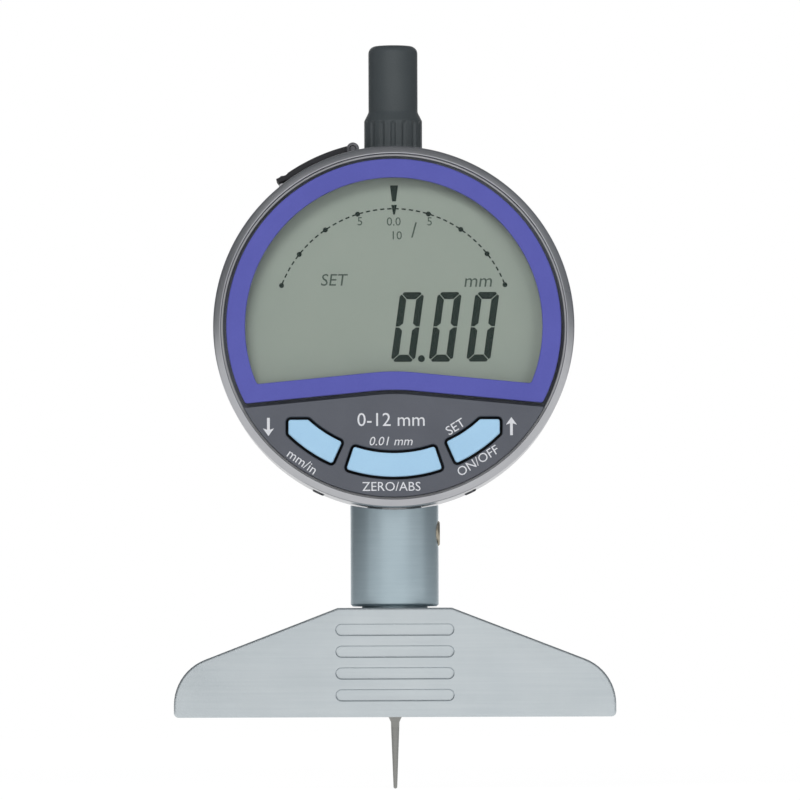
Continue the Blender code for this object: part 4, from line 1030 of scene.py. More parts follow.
@dataclass
class Column(SubAssembly):
    """The turned column between the base and the indicator, and its clamp screw."""

    radius: float = 6.35 * MM
    cradle: float = 26.2 * MM
    bore: float = 4.3 * MM
    chamfer: float = 0.3 * MM
    spigot_radius: float = 4.75 * MM
    spigot_bottom: float = 18.3 * MM
    spigot_bore: float = 2.6 * MM
    stem_seat: float = 27.0 * MM
    screw_drop: float = 3.3 * MM
    screw_radius: float = 1.875 * MM
    screw_stand: float = 0.2 * MM
    hexagon: float = 1.0 * MM
    hexagon_depth: float = 1.0 * MM
    gap: float = 0.2 * MM
    edge: float = 0.06 * MM

    def build(self) -> None:
        """Makes the column, whose top is hollowed to follow the case, and the screw in its right side."""
        bottom, cut = HEIGHTS.column_bottom, self.chamfer
        top = HEIGHTS.case_centre - (self.cradle**2 - self.radius**2) ** 0.5 + OVERRUN
        spigot, bore = (self.spigot_radius, self.spigot_bottom), (self.spigot_bore, self.spigot_bottom)
        section = [(self.bore, top), (self.radius, top), (self.radius, bottom + cut)]
        section += [(self.radius - cut, bottom), (self.spigot_radius, bottom), spigot, bore]
        section += [(self.spigot_bore, self.stem_seat), (self.bore, self.stem_seat)]
        column = lathe("column_post", soften(section, self.edge, 4), SPINDLE, FINE, ring=True)
        reach = self.radius + OVERRUN
        carved(column, lathe("hollow", bar_shape(self.cradle, -reach, reach), DIAL, FINE))
        place = radial_place(pi / 2, HEIGHTS.column_top - self.screw_drop)
        drill = bar_shape(self.screw_radius + self.gap, 0.0, reach)
        carved(column, lathe("drill", drill, place, SCREW_STEPS))
        self.settle(column, COLUMN, "gauge", "column_steel", "column")
        outer = self.radius + self.screw_stand
        screw = SetScrew(self.screw_radius, outer - self.bore, self.hexagon, self.hexagon_depth)
        self.settle(screw.piece("clamp_screw", outer, place), CLAMP, "gauge", "brass", "column_clamp_screw")


@dataclass
class Needle(SubAssembly):
    """The long contact needle, its cone inside the base and its threaded end."""

    tip_radius: float = 0.275 * MM
    root_radius: float = 0.625 * MM
    flare_radius: float = 0.95 * MM
    flare_height: float = 0.7 * MM
    shank_radius: float = 2.0 * MM
    cone_top: float = 12.3 * MM
    shank_top: float = 20.0 * MM
    stud_radius: float = 1.1 * MM
    stud_top: float = 24.0 * MM
    edge: float = 0.12 * MM

    def build(self) -> None:
        """Makes the needle: a round tip, a long taper, a short flare and the shank."""
        root = HEIGHTS.base_bottom - self.flare_height
        body = [(self.root_radius, root), (self.flare_radius, HEIGHTS.base_bottom)]
        body += [(self.shank_radius, self.cone_top), (self.shank_radius, self.shank_top)]
        body += [(self.stud_radius, self.shank_top), (self.stud_radius, self.stud_top), (0.0, self.stud_top)]
        tip = arc((0.0, self.tip_radius), self.tip_radius, -pi / 2, 0.0, 9)
        taper = np.linspace(tip[-1], body[0], 12)[1:-1]
        profile = np.vstack([tip, taper, rounded(body, self.edge, 4)])
        needle = lathe("needle", profile, SPINDLE, SCREW_STEPS)
        self.settle(needle, NEEDLE, "spindle", "ground_steel", "contact_needle")


@dataclass
class Cap(SubAssembly):
    """The cap over the spindle's upper end: a plain barrel on a fluted skirt."""

    radius: float = 3.55 * MM
    skirt_radius: float = 4.2 * MM
    skirt_top: float = 96.4 * MM
    flare_top: float = 97.7 * MM
    top_radius: float = 1.1 * MM
    neck_hole: float = 3.3 * MM
    neck_top: float = 96.5 * MM
    rod_hole: float = 2.45 * MM
    ceiling: float = 106.2 * MM
    flutes: int = 16
    flute_depth: float = 0.25 * MM
    flute_fade: float = 0.5 * MM
    flute_power: float = 0.7
    flute_steps: int = 24
    shoulder_round: float = 0.8 * MM
    skirt_round: float = 0.5 * MM

    def build(self) -> None:
        """Makes the cap on a grid of heights and angles.

        The radius is the turned profile's, less the flute depth times a power of the cosine of
        the flute count times the angle, faded out towards the skirt's top.
        """
        outside = [(0.0, HEIGHTS.cap_top), (self.radius, HEIGHTS.cap_top), (self.radius, self.flare_top)]
        outside += [(self.skirt_radius, self.skirt_top), (self.skirt_radius, HEIGHTS.cap_bottom)]
        radii = np.array([0.0, self.top_radius, self.shoulder_round, self.skirt_round, 0.0])
        outer = soften(outside, radii, 9, closed=False)
        skirt = np.linspace(outer[-2], outer[-1], 14)[1:]
        inner = [(self.neck_hole, HEIGHTS.cap_bottom), (self.neck_hole, self.neck_top)]
        inner += [(self.rod_hole, self.neck_top), (self.rod_hole, self.ceiling), (0.0, self.ceiling)]
        rows = np.vstack([outer[:-1], skirt, inner])
        angles = np.linspace(0.0, tau, self.flute_steps * self.flutes, endpoint=False)[None]
        wave = np.maximum(np.cos(self.flutes * angles), 0.0) ** self.flute_power
        fade = np.clip((self.skirt_top - rows[:, 1:]) / self.flute_fade, 0.0, 1.0)
        outward = (np.arange(len(rows)) < len(rows) - len(inner))[:, None]
        radius = rows[:, :1] - self.flute_depth * wave * fade * fade * (3 - 2 * fade) * outward
        grid = np.broadcast_arrays(radius * np.cos(angles), radius * np.sin(angles), rows[:, 1:])
        cap = skin("spindle_top_cap", np.stack(grid, axis=-1), SPINDLE, caps=False)
        self.settle(cap, CAP, "gauge", "charcoal_plastic", "spindle_cap")


@dataclass
class Hinge:
    """Where the connector cover's hinge and its band run round the case."""

    radius: float = 26.45 * MM
    offset: float = 5.8 * MM
    pin_radius: float = 0.4 * MM
    knuckle_radius: float = 0.9 * MM
    half_width: float = 5.2 * MM
    ear_width: float = 1.0 * MM
    gap: float = 0.3 * MM
    pin_gap: float = 0.1 * MM
    edge: float = 0.08 * MM

    @property
    def angle(self) -> float:
        """Angle of the hinge from straight up, towards the left."""
        return asin(self.offset / self.radius)

    @property
    def centre(self) -> Point:
        """The hinge's axis across the dial."""
        return -self.offset, self.radius * cos(self.angle)

    def rod(self, name: str, radius: float, low: float, high: float) -> Piece:
        """A round bar on the hinge's axis, between two levels."""
        profile = rounded(bar_shape(radius, low, high), self.edge, 3)
        return lathe(name, profile, DIAL, BAR_STEPS, centre=self.centre)


@dataclass(frozen=True)
class CoverScrews:
    """Where the back cover's four screws stand about the dial's axis."""

    circle: float = 21.0 * MM
    angle: float = radians(38.0)

    @property
    def turns(self) -> list[float]:
        """Their angles from the x axis."""
        return [self.angle, pi - self.angle, pi + self.angle, -self.angle]

    @property
    def centres(self) -> list[Point]:
        """Their centres across the dial."""
        return [(self.circle * cos(turn), self.circle * sin(turn)) for turn in self.turns]


HINGE = Hinge()
COVER_SCREWS = CoverScrews()


@dataclass
class Case(SubAssembly):
    """The round case: its ring with a rounded front edge, the cover's ears and two set screws."""

    radius: float = 25.9 * MM
    inner_radius: float = 22.9 * MM
    lip_radius: float = 24.8 * MM
    slope_drop: float = 0.5 * MM
    block_reach: float = 11.0 * MM
    block_left: float = 4.7 * MM
    block_radius: float = 18.5 * MM
    block_half_depth: float = 4.4 * MM
    boss_radius: float = 2.6 * MM
    boss_front: float = 6.1 * MM
    pilot_radius: float = 1.3 * MM
    pilot_front: float = -4.2 * MM
    stem_hole: float = 4.3 * MM
    bush_hole: float = 3.3 * MM
    rail_hole: float = 1.3 * MM
    rail_offset: float = 8.0 * MM
    rail_seat: float = 2.5 * MM
    socket_angle: float = radians(27.93)
    socket_length: float = 9.6 * MM
    socket_width: float = 5.2 * MM
    notch_angle: float = radians(38.1)
    notch_radius: float = 0.5 * MM
    rim_screw_angle: float = radians(25.0)
    rim_screw_radius: float = 0.9 * MM
    rim_screw_length: float = 2.6 * MM
    rim_screw_stand: float = 0.25 * MM
    hexagon: float = 0.45 * MM
    window_corner: float = 0.5 * MM
    gap: float = 0.12 * MM
    edges: tuple[float, ...] = (0.12 * MM, 0.35 * MM, 0.15 * MM, 0.1 * MM, 0.02 * MM, 0.02 * MM)

    def ring(self) -> Piece:
        """The ring, turned about the dial's axis: its front edge slopes outwards and ends in a round.

        Returns:
            The ring, with no openings yet.
        """
        front, back, step = LEVELS.rim_front, LEVELS.case_back, LEVELS.lcd_front
        corners = [(self.lip_radius, front), (self.radius, front - self.slope_drop), (self.radius, back)]
        corners += [(self.inner_radius, back), (self.inner_radius, step), (self.lip_radius, step)]
        return lathe("case_ring", soften(corners, np.array(self.edges), 10), DIAL, FINE, ring=True)

    def block(self, name: str, left: float, right: float, side: int) -> Piece:
        """A block inside the ring, below or above: flat towards the centre and arched into the wall.

        Args:
            name: the piece's name.
            left: x of its left side.
            right: x of its right side.
            side: -1 below, 1 above.

        Returns:
            The block.
        """
        wall = self.radius - (self.radius - self.inner_radius) / 2
        start, end = asin(left / wall), asin(right / wall)
        curve = arc((0.0, 0.0), wall, pi / 2 - start, pi / 2 - end, 24)[::-1] * (1.0, side)
        level, depth = side * self.block_radius, self.block_half_depth
        outline = np.vstack([(left, level), (right, level), curve])[::side]
        return slab(name, lambda inset: outline, [(0.0, -depth), (0.0, depth)], DIAL)

    def inner_parts(self) -> list[Piece]:
        """The stem's and the bush's blocks, the screw bosses and the hinge's ears.

        Returns:
            The pieces that are joined to the ring.
        """
        reach, back, front = self.block_reach, LEVELS.case_back, self.boss_front
        low = HINGE.half_width + HINGE.gap
        high = low + HINGE.ear_width
        return [
            self.block("stem_block", -reach, reach, -1),
            self.block("bush_block", -self.block_left, reach, 1),
            *[bar("boss", self.boss_radius, back, front, DIAL, centre) for centre in COVER_SCREWS.centres],
            HINGE.rod("ear", HINGE.knuckle_radius, low, high),
            HINGE.rod("ear", HINGE.knuckle_radius, -high, -low),
        ]

    def blacken_ears(self, ring: Piece) -> None:
        """Gives the faces within the ears' radius of the hinge, outside the ring, the dark steel.

        Args:
            ring: the finished ring.
        """
        faces = ring.data.polygons
        flat = np.empty(3 * len(faces))
        faces.foreach_get("center", flat)
        x, _, z = flat.reshape(-1, 3).T
        z = z - HEIGHTS.case_centre
        near = np.hypot(x - HINGE.centre[0], z - HINGE.centre[1]) < HINGE.knuckle_radius + HINGE.gap
        ears = near & (np.hypot(x, z) > self.radius + WELD)
        ring.data.materials.append(self.wardrobe.material(DARK_STEEL))
        faces.foreach_set("material_index", ears.astype(np.int32))

    def openings(self) -> list[Piece]:
        """Everything that is drilled or milled out of the ring.

        Returns:
            The cutters.
        """
        centre, outer = HEIGHTS.case_centre, self.radius + OVERRUN
        low, high = centre - self.radius - OVERRUN, centre + self.radius + OVERRUN
        rail, pilot_back = self.block_radius + self.rail_seat, LEVELS.case_back - OVERRUN
        inner = self.radius + self.rim_screw_stand - self.rim_screw_length - self.gap
        sides = [radial_place(angle) for angle in (pi - self.rim_screw_angle, pi + self.rim_screw_angle)]
        x, y = self.socket_length / 2, self.socket_width / 2
        window = polygon([(-x, -y), (x, -y), (x, y), (-x, y)], self.window_corner)
        depth = [(0.0, self.inner_radius - OVERRUN), (0.0, outer)]
        width = HINGE.half_width + HINGE.gap
        pin_end = width + HINGE.ear_width + OVERRUN
        notch = (-self.radius * sin(self.notch_angle), self.radius * cos(self.notch_angle))
        pilots = COVER_SCREWS.centres
        return [
            bar("stem_hole", self.stem_hole, low, centre, SPINDLE),
            bar("bush_hole", self.bush_hole, centre, high, SPINDLE),
            bar("rail_hole", self.rail_hole, centre - rail, centre + rail, SPINDLE, (self.rail_offset, 0.0)),
            *[bar("pilot", self.pilot_radius, pilot_back, self.pilot_front, DIAL, at) for at in pilots],
            *[bar("rim_hole", self.rim_screw_radius + self.gap, inner, outer, place) for place in sides],
            slab("window", window, depth, radial_place(-self.socket_angle)),
            HINGE.rod("groove", HINGE.knuckle_radius + HINGE.gap, -width, width),
            HINGE.rod("pin_hole", HINGE.pin_radius + HINGE.pin_gap, -pin_end, pin_end),
            bar("notch", self.notch_radius, -width, width, DIAL, notch),
        ]

    def build(self) -> None:
        """Makes the ring with its blocks, bosses, ears and openings, and the two set screws."""
        ring = carved(self.ring(), *self.inner_parts(), operation="UNION")
        carved(ring, *self.openings())
        self.settle(ring, CASE, "gauge", "case_metal", "case_body")
        self.blacken_ears(ring)
        outer = self.radius + self.rim_screw_stand
        screw = SetScrew(self.rim_screw_radius, self.rim_screw_length, self.hexagon, 2 * self.hexagon)
        for side, name in ((1, "left"), (-1, "right")):
            made = screw.piece(f"rim_set_screw_{name}", outer, radial_place(pi + side * self.rim_screw_angle))
            self.settle(made, DARK_STEEL, "gauge", "dark_steel", f"rim_screw_{name}")


@dataclass
class Chevron:
    """The display's outline: a circle cut off below by a wide chevron with a rounded apex."""

    slope: float = radians(5.5)
    apex_radius: float = 30.0 * MM
    corner: float = 0.5 * MM

    def outline(self, radius: float, drop: float) -> Outline:
        """The outline as a function of its inset.

        The chevron's two sides leave the apex's circle at the slope and meet the large circle
        where their distance from its centre over the radius is the sine of the angle.

        Args:
            radius: the large circle's radius.
            drop: how far the apex lies below the circle's centre.

        Returns:
            A function from an inset to the outline.
        """

        def at(inset: float) -> np.ndarray:
            """The outline that lies this far inside.

            Args:
                inset: how far the outline moves in.

            Returns:
                The outline: the circle, then the apex.
            """
            size, bend = radius - inset, -drop + inset - self.apex_radius
            bend_x, bend_y = self.apex_radius * sin(self.slope), bend + self.apex_radius * cos(self.slope)
            distance = (bend_y + bend_x * tan(self.slope)) * cos(self.slope)
            start = -self.slope + asin(distance / size)
            top = bow(size, start, pi - start, FINE, 3 * self.corner)
            apex = arc((0.0, bend), self.apex_radius, pi / 2 + self.slope, pi / 2 - self.slope, 17)
            return soften(np.vstack([top, apex]), self.corner - inset)

        return at


@dataclass
class Keys(SubAssembly):
    """The three keys below the display."""

    inner_radius: float = 18.2 * MM
    outer_radius: float = 21.6 * MM
    middle_angle: float = radians(18.5)
    side_angle: float = radians(24.3)
    side_outer_angle: float = radians(44.5)
    side_top_angle: float = radians(42.6)
    corner: float = 0.35 * MM
    edge: float = 0.22 * MM
    back_edge: float = 0.1 * MM
    gap: float = 0.4 * MM

    def outline(self, side: int, grow: float = 0.0) -> Outline:
        """A key from the front, as a function of its inset.

        Args:
            side: -1 for the left key, 0 for the middle one, 1 for the right one.
            grow: how far the outline at no inset lies outside the key.

        Returns:
            A function from an inset to the outline: two arcs about the dial's centre, joined at
            their ends, with rounded corners.
        """

        def at(inset: float) -> np.ndarray:
            """The outline that lies this far inside.

            Args:
                inset: how far the outline moves in.

            Returns:
                The outline: the outer arc, then the inner one.
            """
            out = grow - inset
            inner, outer = self.inner_radius - out, self.outer_radius + out
            down, clear = -pi / 2, 4 * self.corner
            if side == 0:
                far, near = self.middle_angle + asin(out / outer), self.middle_angle + asin(out / inner)
                low = bow(outer, down - far, down + far, 25, clear)
                path = np.vstack([low, bow(inner, down + near, down - near, 25, clear)])
            else:
                reach = self.outer_radius * sin(self.side_outer_angle) + out
                top = self.inner_radius * cos(self.side_top_angle) - out
                far, near = self.side_angle - asin(out / outer), self.side_angle - asin(out / inner)
                low = bow(outer, down + far, down + asin(reach / outer), 17, clear)
                high = bow(inner, -asin(top / inner), down + near, 13, clear)
                path = np.vstack([low, [(reach, -top)], high])
            if side < 0:
                path = path[::-1] * (-1.0, 1.0)
            return soften(path, self.corner + out)

        return at

    def build(self) -> None:
        """Makes the keys with rounded edges."""
        section = edge_section(LEVELS.key_back, LEVELS.key_front, self.back_edge, self.edge, 6)
        for side, name in ((-1, "left"), (0, "middle"), (1, "right")):
            key = slab(f"{name}_push_key", self.outline(side), section, DIAL)
            self.settle(key, KEY, f"{name}_key", "key_plastic", f"key_{name}")


@dataclass
class Front(SubAssembly):
    """The grey front plate with its print, the blue surround and the clear window."""

    plate_radius: float = 24.5 * MM
    plate_edge: float = 0.2 * MM
    frame_radius: float = 24.0 * MM
    frame_drop: float = 9.15 * MM
    frame_edge: float = 0.16 * MM
    view_radius: float = 21.3 * MM
    view_drop: float = 6.5 * MM
    groove: float = 0.6 * MM
    window_gap: float = 0.3 * MM
    ledge: float = 0.95 * MM
    key_edge: float = 0.12 * MM
    plate_back_edge: float = 0.1 * MM
    frame_back_edge: float = 0.05 * MM
    window_edge: float = 0.04 * MM
    chevron: Chevron = field(default_factory=Chevron)

    def disc(self, inset: float) -> np.ndarray:
        """The plate's outline, a circle about the dial's axis."""
        return arc((0.0, 0.0), self.plate_radius - inset, 0.0, tau, FINE)[:-1]

    def plate(self, keys: Keys) -> Piece:
        """The plate, with the recess of the surround, the display's opening and the keys' openings.

        Args:
            keys: the keys, for the outlines of their openings.

        Returns:
            The plate.
        """
        section = edge_section(LEVELS.plate_back, LEVELS.plate_front, self.plate_back_edge, self.plate_edge)
        plate = slab("front_plate", self.disc, section, DIAL)
        front, back = LEVELS.plate_front + OVERRUN, LEVELS.plate_back - OVERRUN
        recess = self.chevron.outline(self.frame_radius + self.groove, self.frame_drop + self.groove)
        view = self.chevron.outline(self.view_radius + self.ledge, self.view_drop + self.ledge)
        cutters = [
            slab("recess", recess, [(0.0, LEVELS.ledge_front), (0.0, front)], DIAL),
            slab("view", view, [(0.0, back), (0.0, LEVELS.plate_front)], DIAL),
        ]
        edge = self.key_edge
        section = [(0.0, back), (0.0, LEVELS.plate_front - edge), (-edge, LEVELS.plate_front), (-edge, front)]
        cutters += [slab("key_hole", keys.outline(side, keys.gap), section, DIAL) for side in (-1, 0, 1)]
        return carved(plate, *cutters)

    def surround(self) -> Piece:
        """The blue surround: a closed section with four rounded edges, carried round both outlines.

        Returns:
            The surround, as a ring.
        """
        outer = self.chevron.outline(self.frame_radius, self.frame_drop)
        inner = self.chevron.outline(self.view_radius, self.view_drop)
        section = edge_section(LEVELS.frame_back, LEVELS.frame_front, self.frame_back_edge, self.frame_edge)
        outside = [raised(outer(inset), level) for inset, level in section]
        inside = [raised(inner(-inset), level) for inset, level in reversed(section)]
        return skin("display_surround", np.array(outside + inside), DIAL, ring=True)

    def window(self) -> Piece:
        """The clear window behind the surround.

        Returns:
            The window.
        """
        spare = self.groove - self.window_gap
        outline = self.chevron.outline(self.frame_radius + spare, self.frame_drop + spare)
        section = edge_section(LEVELS.window_back, LEVELS.window_front, self.window_edge, self.window_edge, 3)
        return slab("clear_window", outline, section, DIAL)

    def print_plate(self) -> None:
        """Prints plain words and arrows on the plate."""
        ink = Print()
        ink.rows(
            ("0-12 mm", 1.9, -0.4, -13.5, 0.0, 0.0),
            ("0.01 mm", 1.25, -0.4, -16.55, 0.0, radians(12.0)),
            ("mm/in", 1.35, -13.2, -19.45, radians(-35.0), 0.0),
            ("ZERO/ABS", 1.3, -0.4, -23.05, 0.0, 0.0),
            ("ON/OFF", 1.3, 12.0, -19.4, radians(32.0), 0.0),
            ("SET", 1.3, 8.8, -14.5, radians(32.0), 0.0),
        )
        half = [(0.0, 1.3), (-0.8, 0.2), (-0.2, 0.4), (-0.2, -1.3)]
        arrow = np.array(half + [(-x, y) for x, y in half[:0:-1]])
        for x, side in ((-18.0, -1), (16.8, 1)):
            ink.shape(arrow * MM * (1.0, side) + np.array([x, -14.4]) * MM)
        self.settle(ink.piece("plate_print", LEVELS.plate_front), WHITE_INK, "gauge", "key_plastic")

    def build(self) -> None:
        """Makes the plate, the surround, the window and the print."""
        self.settle(self.plate(Keys(self.wardrobe)), PLATE, "gauge", "grey_plate", "face_plate")
        self.settle(self.surround(), FRAME, "gauge", "blue_plastic", "display_frame")
        self.settle(self.window(), WINDOW, "gauge", "window", "display_window")
        self.print_plate()


@dataclass
class Readout(SubAssembly):
    """What the display shows: three digits, a curved bar scale with its pointer, and small signs."""

    digit_height: float = 10.0 * MM
    digit_width: float = 3.45 * MM
    digit_pitch: float = 5.4 * MM
    first_digit: float = -0.45 * MM
    digit_bottom: float = -5.05 * MM
    stroke: float = 1.02 * MM
    joint: float = 0.07 * MM
    corner_cut: float = 0.55 * MM
    lean: float = radians(8.0)
    scale_radius: float = 17.2 * MM
    scale_step: float = radians(17.2)
    scale_middle: Point = (-0.05 * MM, -0.25 * MM)
    scale_dot: float = 0.36 * MM
    steps_each_side: int = 4
    dashes: int = 5
    dash_start: float = 0.2
    dash_length: float = 0.6
    dash_half_width: float = 0.1 * MM
    decimal_centre: Point = (3.95 * MM, -4.6 * MM)
    decimal_radius: float = 0.5 * MM

    def digit(self, ink: Print, left: float) -> None:
        """A nought of six mitred segments whose outer corners are cut off.

        Args:
            ink: what it is printed with.
            left: x of its left side.
        """
        w, h, s, g, c = self.digit_width, self.digit_height, self.stroke, self.joint, self.corner_cut
        high, middle = h - c / 2, h / 2
        top = [(c / 2 + g, high), (c, h), (w - c, h), (w - c / 2 - g, high)]
        top = np.array(top + [(w - s - g, h - s), (s + g, h - s)])
        side = [(c / 2, high - g), (0.0, h - c), (0.0, middle + g), (s / 2, middle + g)]
        side = np.array(side + [(s, middle + s / 2), (s, h - s - g)])
        for upper in (top, side, side * (-1.0, 1.0) + (w, 0.0)):
            for shape in (upper, upper * (1.0, -1.0) + (0.0, h)):
                ink.shape(leaned(shape, self.lean) + (left, self.digit_bottom))

    def dot(self, ink: Print, centre: Point, radius: float) -> None:
        """A round dot."""
        ink.shape(arc(centre, radius, 0.0, tau, 17)[:-1])

    def bar_scale(self, ink: Print) -> None:
        """The curved scale: dots at every step, five dashes between them, and the pointer.

        Args:
            ink: what it is printed with.
        """
        count, share = self.steps_each_side, self.scale_step / self.dashes
        middle, radius = np.array(self.scale_middle), self.scale_radius
        for angle in np.arange(-count, count + 1) * self.scale_step:
            if angle:
                self.dot(ink, middle + radius * np.array([sin(angle), cos(angle)]), self.scale_dot)
        for index in range(-count * self.dashes, count * self.dashes):
            start = (index + self.dash_start) * share
            band = pi / 2 - np.linspace(start, start + self.dash_length * share, 5)
            ring = np.column_stack([np.cos(band), np.sin(band)])
            low, high = radius - self.dash_half_width, radius + self.dash_half_width
            ink.shape(np.vstack([ring * low, ring[::-1] * high]) + middle)
        pointer = [(-0.18, 18.0), (0.38, 18.0), (0.68, 20.3), (-0.48, 20.3)]
        mark = [(-0.02, 16.1), (0.22, 16.1), (0.5, 17.5), (-0.3, 17.5)]
        for shape in (pointer, mark):
            ink.shape(np.array(shape) * MM)

    def build(self) -> None:
        """Makes the dark and the faint shapes and dresses the display glass."""
        dark, faint = Print(), Print()
        for index in range(3):
            self.digit(dark, self.first_digit + index * self.digit_pitch)
        self.dot(dark, self.decimal_centre, self.decimal_radius)
        self.bar_scale(dark)
        faint.rows(
            ("mm", 1.9, 12.2, 6.5, 0.0, self.lean),
            ("SET", 1.7, -8.55, 6.65, 0.0, self.lean),
            ("5", 1.2, -4.8, 15.1, 0.0, 0.0),
            ("0.0", 1.2, 0.05, 15.05, 0.0, 0.0),
            ("10", 1.2, 0.4, 13.05, 0.0, 0.0),
            ("5", 1.2, 5.2, 15.05, 0.0, 0.0),
            ("/", 2.2, 2.95, 13.75, 0.0, 0.0),
        )
        self.settle(dark.piece("display_digits", LEVELS.lcd_front), SEGMENT, "gauge", "lcd")
        self.settle(faint.piece("display_signs", LEVELS.lcd_front), FAINT, "gauge", "lcd")
        self.dress_nodes(LCD, "lcd_panel")


@dataclass
class ConnectorCover(SubAssembly):
    """The arc-shaped rubber cover of the output connector, on its hinge pin."""

    low: float = 26.2 * MM
    thickness: float = 0.9 * MM
    end_angle: float = radians(38.1)
    tab_length: float = 1.2 * MM
    tab_lift: float = 0.45 * MM
    edge: float = 0.2 * MM
    rib_height: float = 0.12 * MM
    rib_turns: int = 22
    tab_share: float = 1.6
    tab_ramp: float = 5.0

    def outline(self, inset: float) -> np.ndarray:
        """The cover from the front: a band round the case whose last stretch lifts as a finger tab.

        Args:
            inset: how far the outline moves in.

        Returns:
            The outline: the outer arc, then the inner one.
        """
        high, low = self.low + self.thickness - inset, self.low + inset
        start, end = HINGE.angle + inset / high, self.end_angle - inset / high
        angles = np.linspace(start, end, 64)
        tab = self.end_angle - self.tab_share * self.tab_length / high
        run = np.clip((angles - tab) / (end - start) * self.tab_ramp, 0.0, 1.0)
        lift = self.tab_lift * run * run * (3 - 2 * run)
        wave = np.sin((angles - start) / (end - start) * self.rib_turns * pi)
        rib = self.rib_height * np.maximum(wave, 0.0) * (run > 0)
        spokes = np.column_stack([-np.sin(angles), np.cos(angles)])
        outer = spokes * (high + lift + rib - self.rib_height * (run > 0))[:, None]
        return np.vstack([outer, (spokes * (low + lift)[:, None])[::-1]])

    def build(self) -> None:
        """Makes the cover and joins its knuckle, and dresses the socket and the pin."""
        half = HINGE.half_width
        door = slab("output_door", self.outline, edge_section(-half, half, self.edge, self.edge), DIAL)
        carved(door, HINGE.rod("knuckle", HINGE.knuckle_radius, -half, half), operation="UNION")
        end = half + OVERRUN
        carved(door, HINGE.rod("bore", HINGE.pin_radius + HINGE.pin_gap, -end, end))
        self.settle(door, RUBBER, "output_cover", "rubber", "connector_cover")
        self.dress_nodes(BLACK, "data_socket")
        self.dress_nodes(DARK_STEEL, "cover_hinge_pin")


@dataclass
class Back(SubAssembly):
    """The back cover, its four screws, and the battery lid with its coin slot."""

    radius: float = 25.8 * MM
    edges: tuple[float, ...] = (0.05 * MM, 0.05 * MM, 0.8 * MM, 0.15 * MM, 0.02 * MM, 0.02 * MM)
    flange_hole: float = 12.7 * MM
    seal_hole: float = 11.8 * MM
    seal_step: float = -10.9 * MM
    head: float = 1.9 * MM
    shank: float = 1.0 * MM
    head_front: float = -11.0 * MM
    screw_front: float = -4.5 * MM
    sink_gap: float = 0.15 * MM
    driver_slot: float = 0.5 * MM
    screw_edge: float = 0.05 * MM
    lid_radius: float = 12.4 * MM
    lid_neck: float = 10.4 * MM
    coin_length: float = 14.0 * MM
    coin_width: float = 1.8 * MM
    coin_depth: float = 0.8 * MM
    lid_edge: float = 0.15 * MM
    pips: int = 36
    pip_circle: float = 0.86
    pip: float = 0.35 * MM

    def screws(self, cover: Piece) -> None:
        """Cuts the countersinks into the cover and makes the slotted screws.

        Args:
            cover: the back cover, which the countersinks are cut into.
        """
        head, shank, front, back = self.head, self.shank, self.head_front, LEVELS.lid_back
        wide, hole, deep = head + self.sink_gap, shank + 2 * self.sink_gap, LEVELS.cover_front + OVERRUN
        outside = LEVELS.cover_back - OVERRUN
        sink = [(0.0, deep), (hole, deep), (hole, front), (wide, back), (wide, outside), (0.0, outside)]
        body = [(0.0, self.screw_front), (shank, self.screw_front), (shank, front), (head, back), (0.0, back)]
        section = [(0.0, back - OVERRUN), (0.0, back + self.driver_slot)]
        for index, (turn, centre) in enumerate(zip(COVER_SCREWS.turns, COVER_SCREWS.centres), start=1):
            carved(cover, lathe("sink", sink, DIAL, BAR_STEPS, centre=centre))
            profile = rounded(body, self.screw_edge, 3)
            screw = lathe(f"cover_screw_{index}", profile, DIAL, BAR_STEPS, centre=centre)
            groove = slot(4 * head, self.driver_slot, turn)(0.0) + centre
            carved(screw, slab("driver", lambda inset, path=groove: path, section, DIAL))
            self.settle(screw, DARK_STEEL, "gauge", "dark_steel", f"back_cover_screw_{index}")

    def lid(self) -> None:
        """Makes the lid: a disc whose edge is notched for grip, with the coin slot across it."""
        front, step, back = LEVELS.lid_front, LEVELS.lid_flange_front, LEVELS.lid_back
        corners = [(0.0, front), (self.lid_neck, front), (self.lid_neck, step)]
        corners += [(self.lid_radius, step), (self.lid_radius, back), (0.0, back)]
        lid = lathe("coin_slot_lid", rounded(corners, self.lid_edge), DIAL, FINE)
        section = edge_section(back - OVERRUN, back + self.coin_depth, 0.0, self.lid_edge)
        cutters = [slab("coin", slot(self.coin_length, self.coin_width), section, DIAL)]
        pip = bar_shape(self.pip, back - OVERRUN, back + self.pip / 2)
        centres = arc((0.0, 0.0), self.pip_circle * self.lid_radius, 0.0, tau, self.pips + 1)[:-1]
        cutters += [lathe("pip", pip, DIAL, 12, centre=tuple(centre)) for centre in centres]
        self.settle(carved(lid, *cutters), BLACK, "lid", "black_plastic", "battery_lid")
        self.dress_nodes(RUBBER, "lid_seal")

    def build(self) -> None:
        """Makes the cover, its screws and the lid."""
        front, back, step = LEVELS.cover_front, LEVELS.cover_back, self.seal_step
        corners = [(self.seal_hole, front), (self.radius, front), (self.radius, back)]
        corners += [(self.flange_hole, back), (self.flange_hole, step), (self.seal_hole, step)]
        cover = lathe("back_shell", soften(corners, np.array(self.edges), 8), DIAL, FINE, ring=True)
        self.screws(cover)
        self.settle(cover, BLACK, "gauge", "black_plastic", "back_cover")
        self.lid()


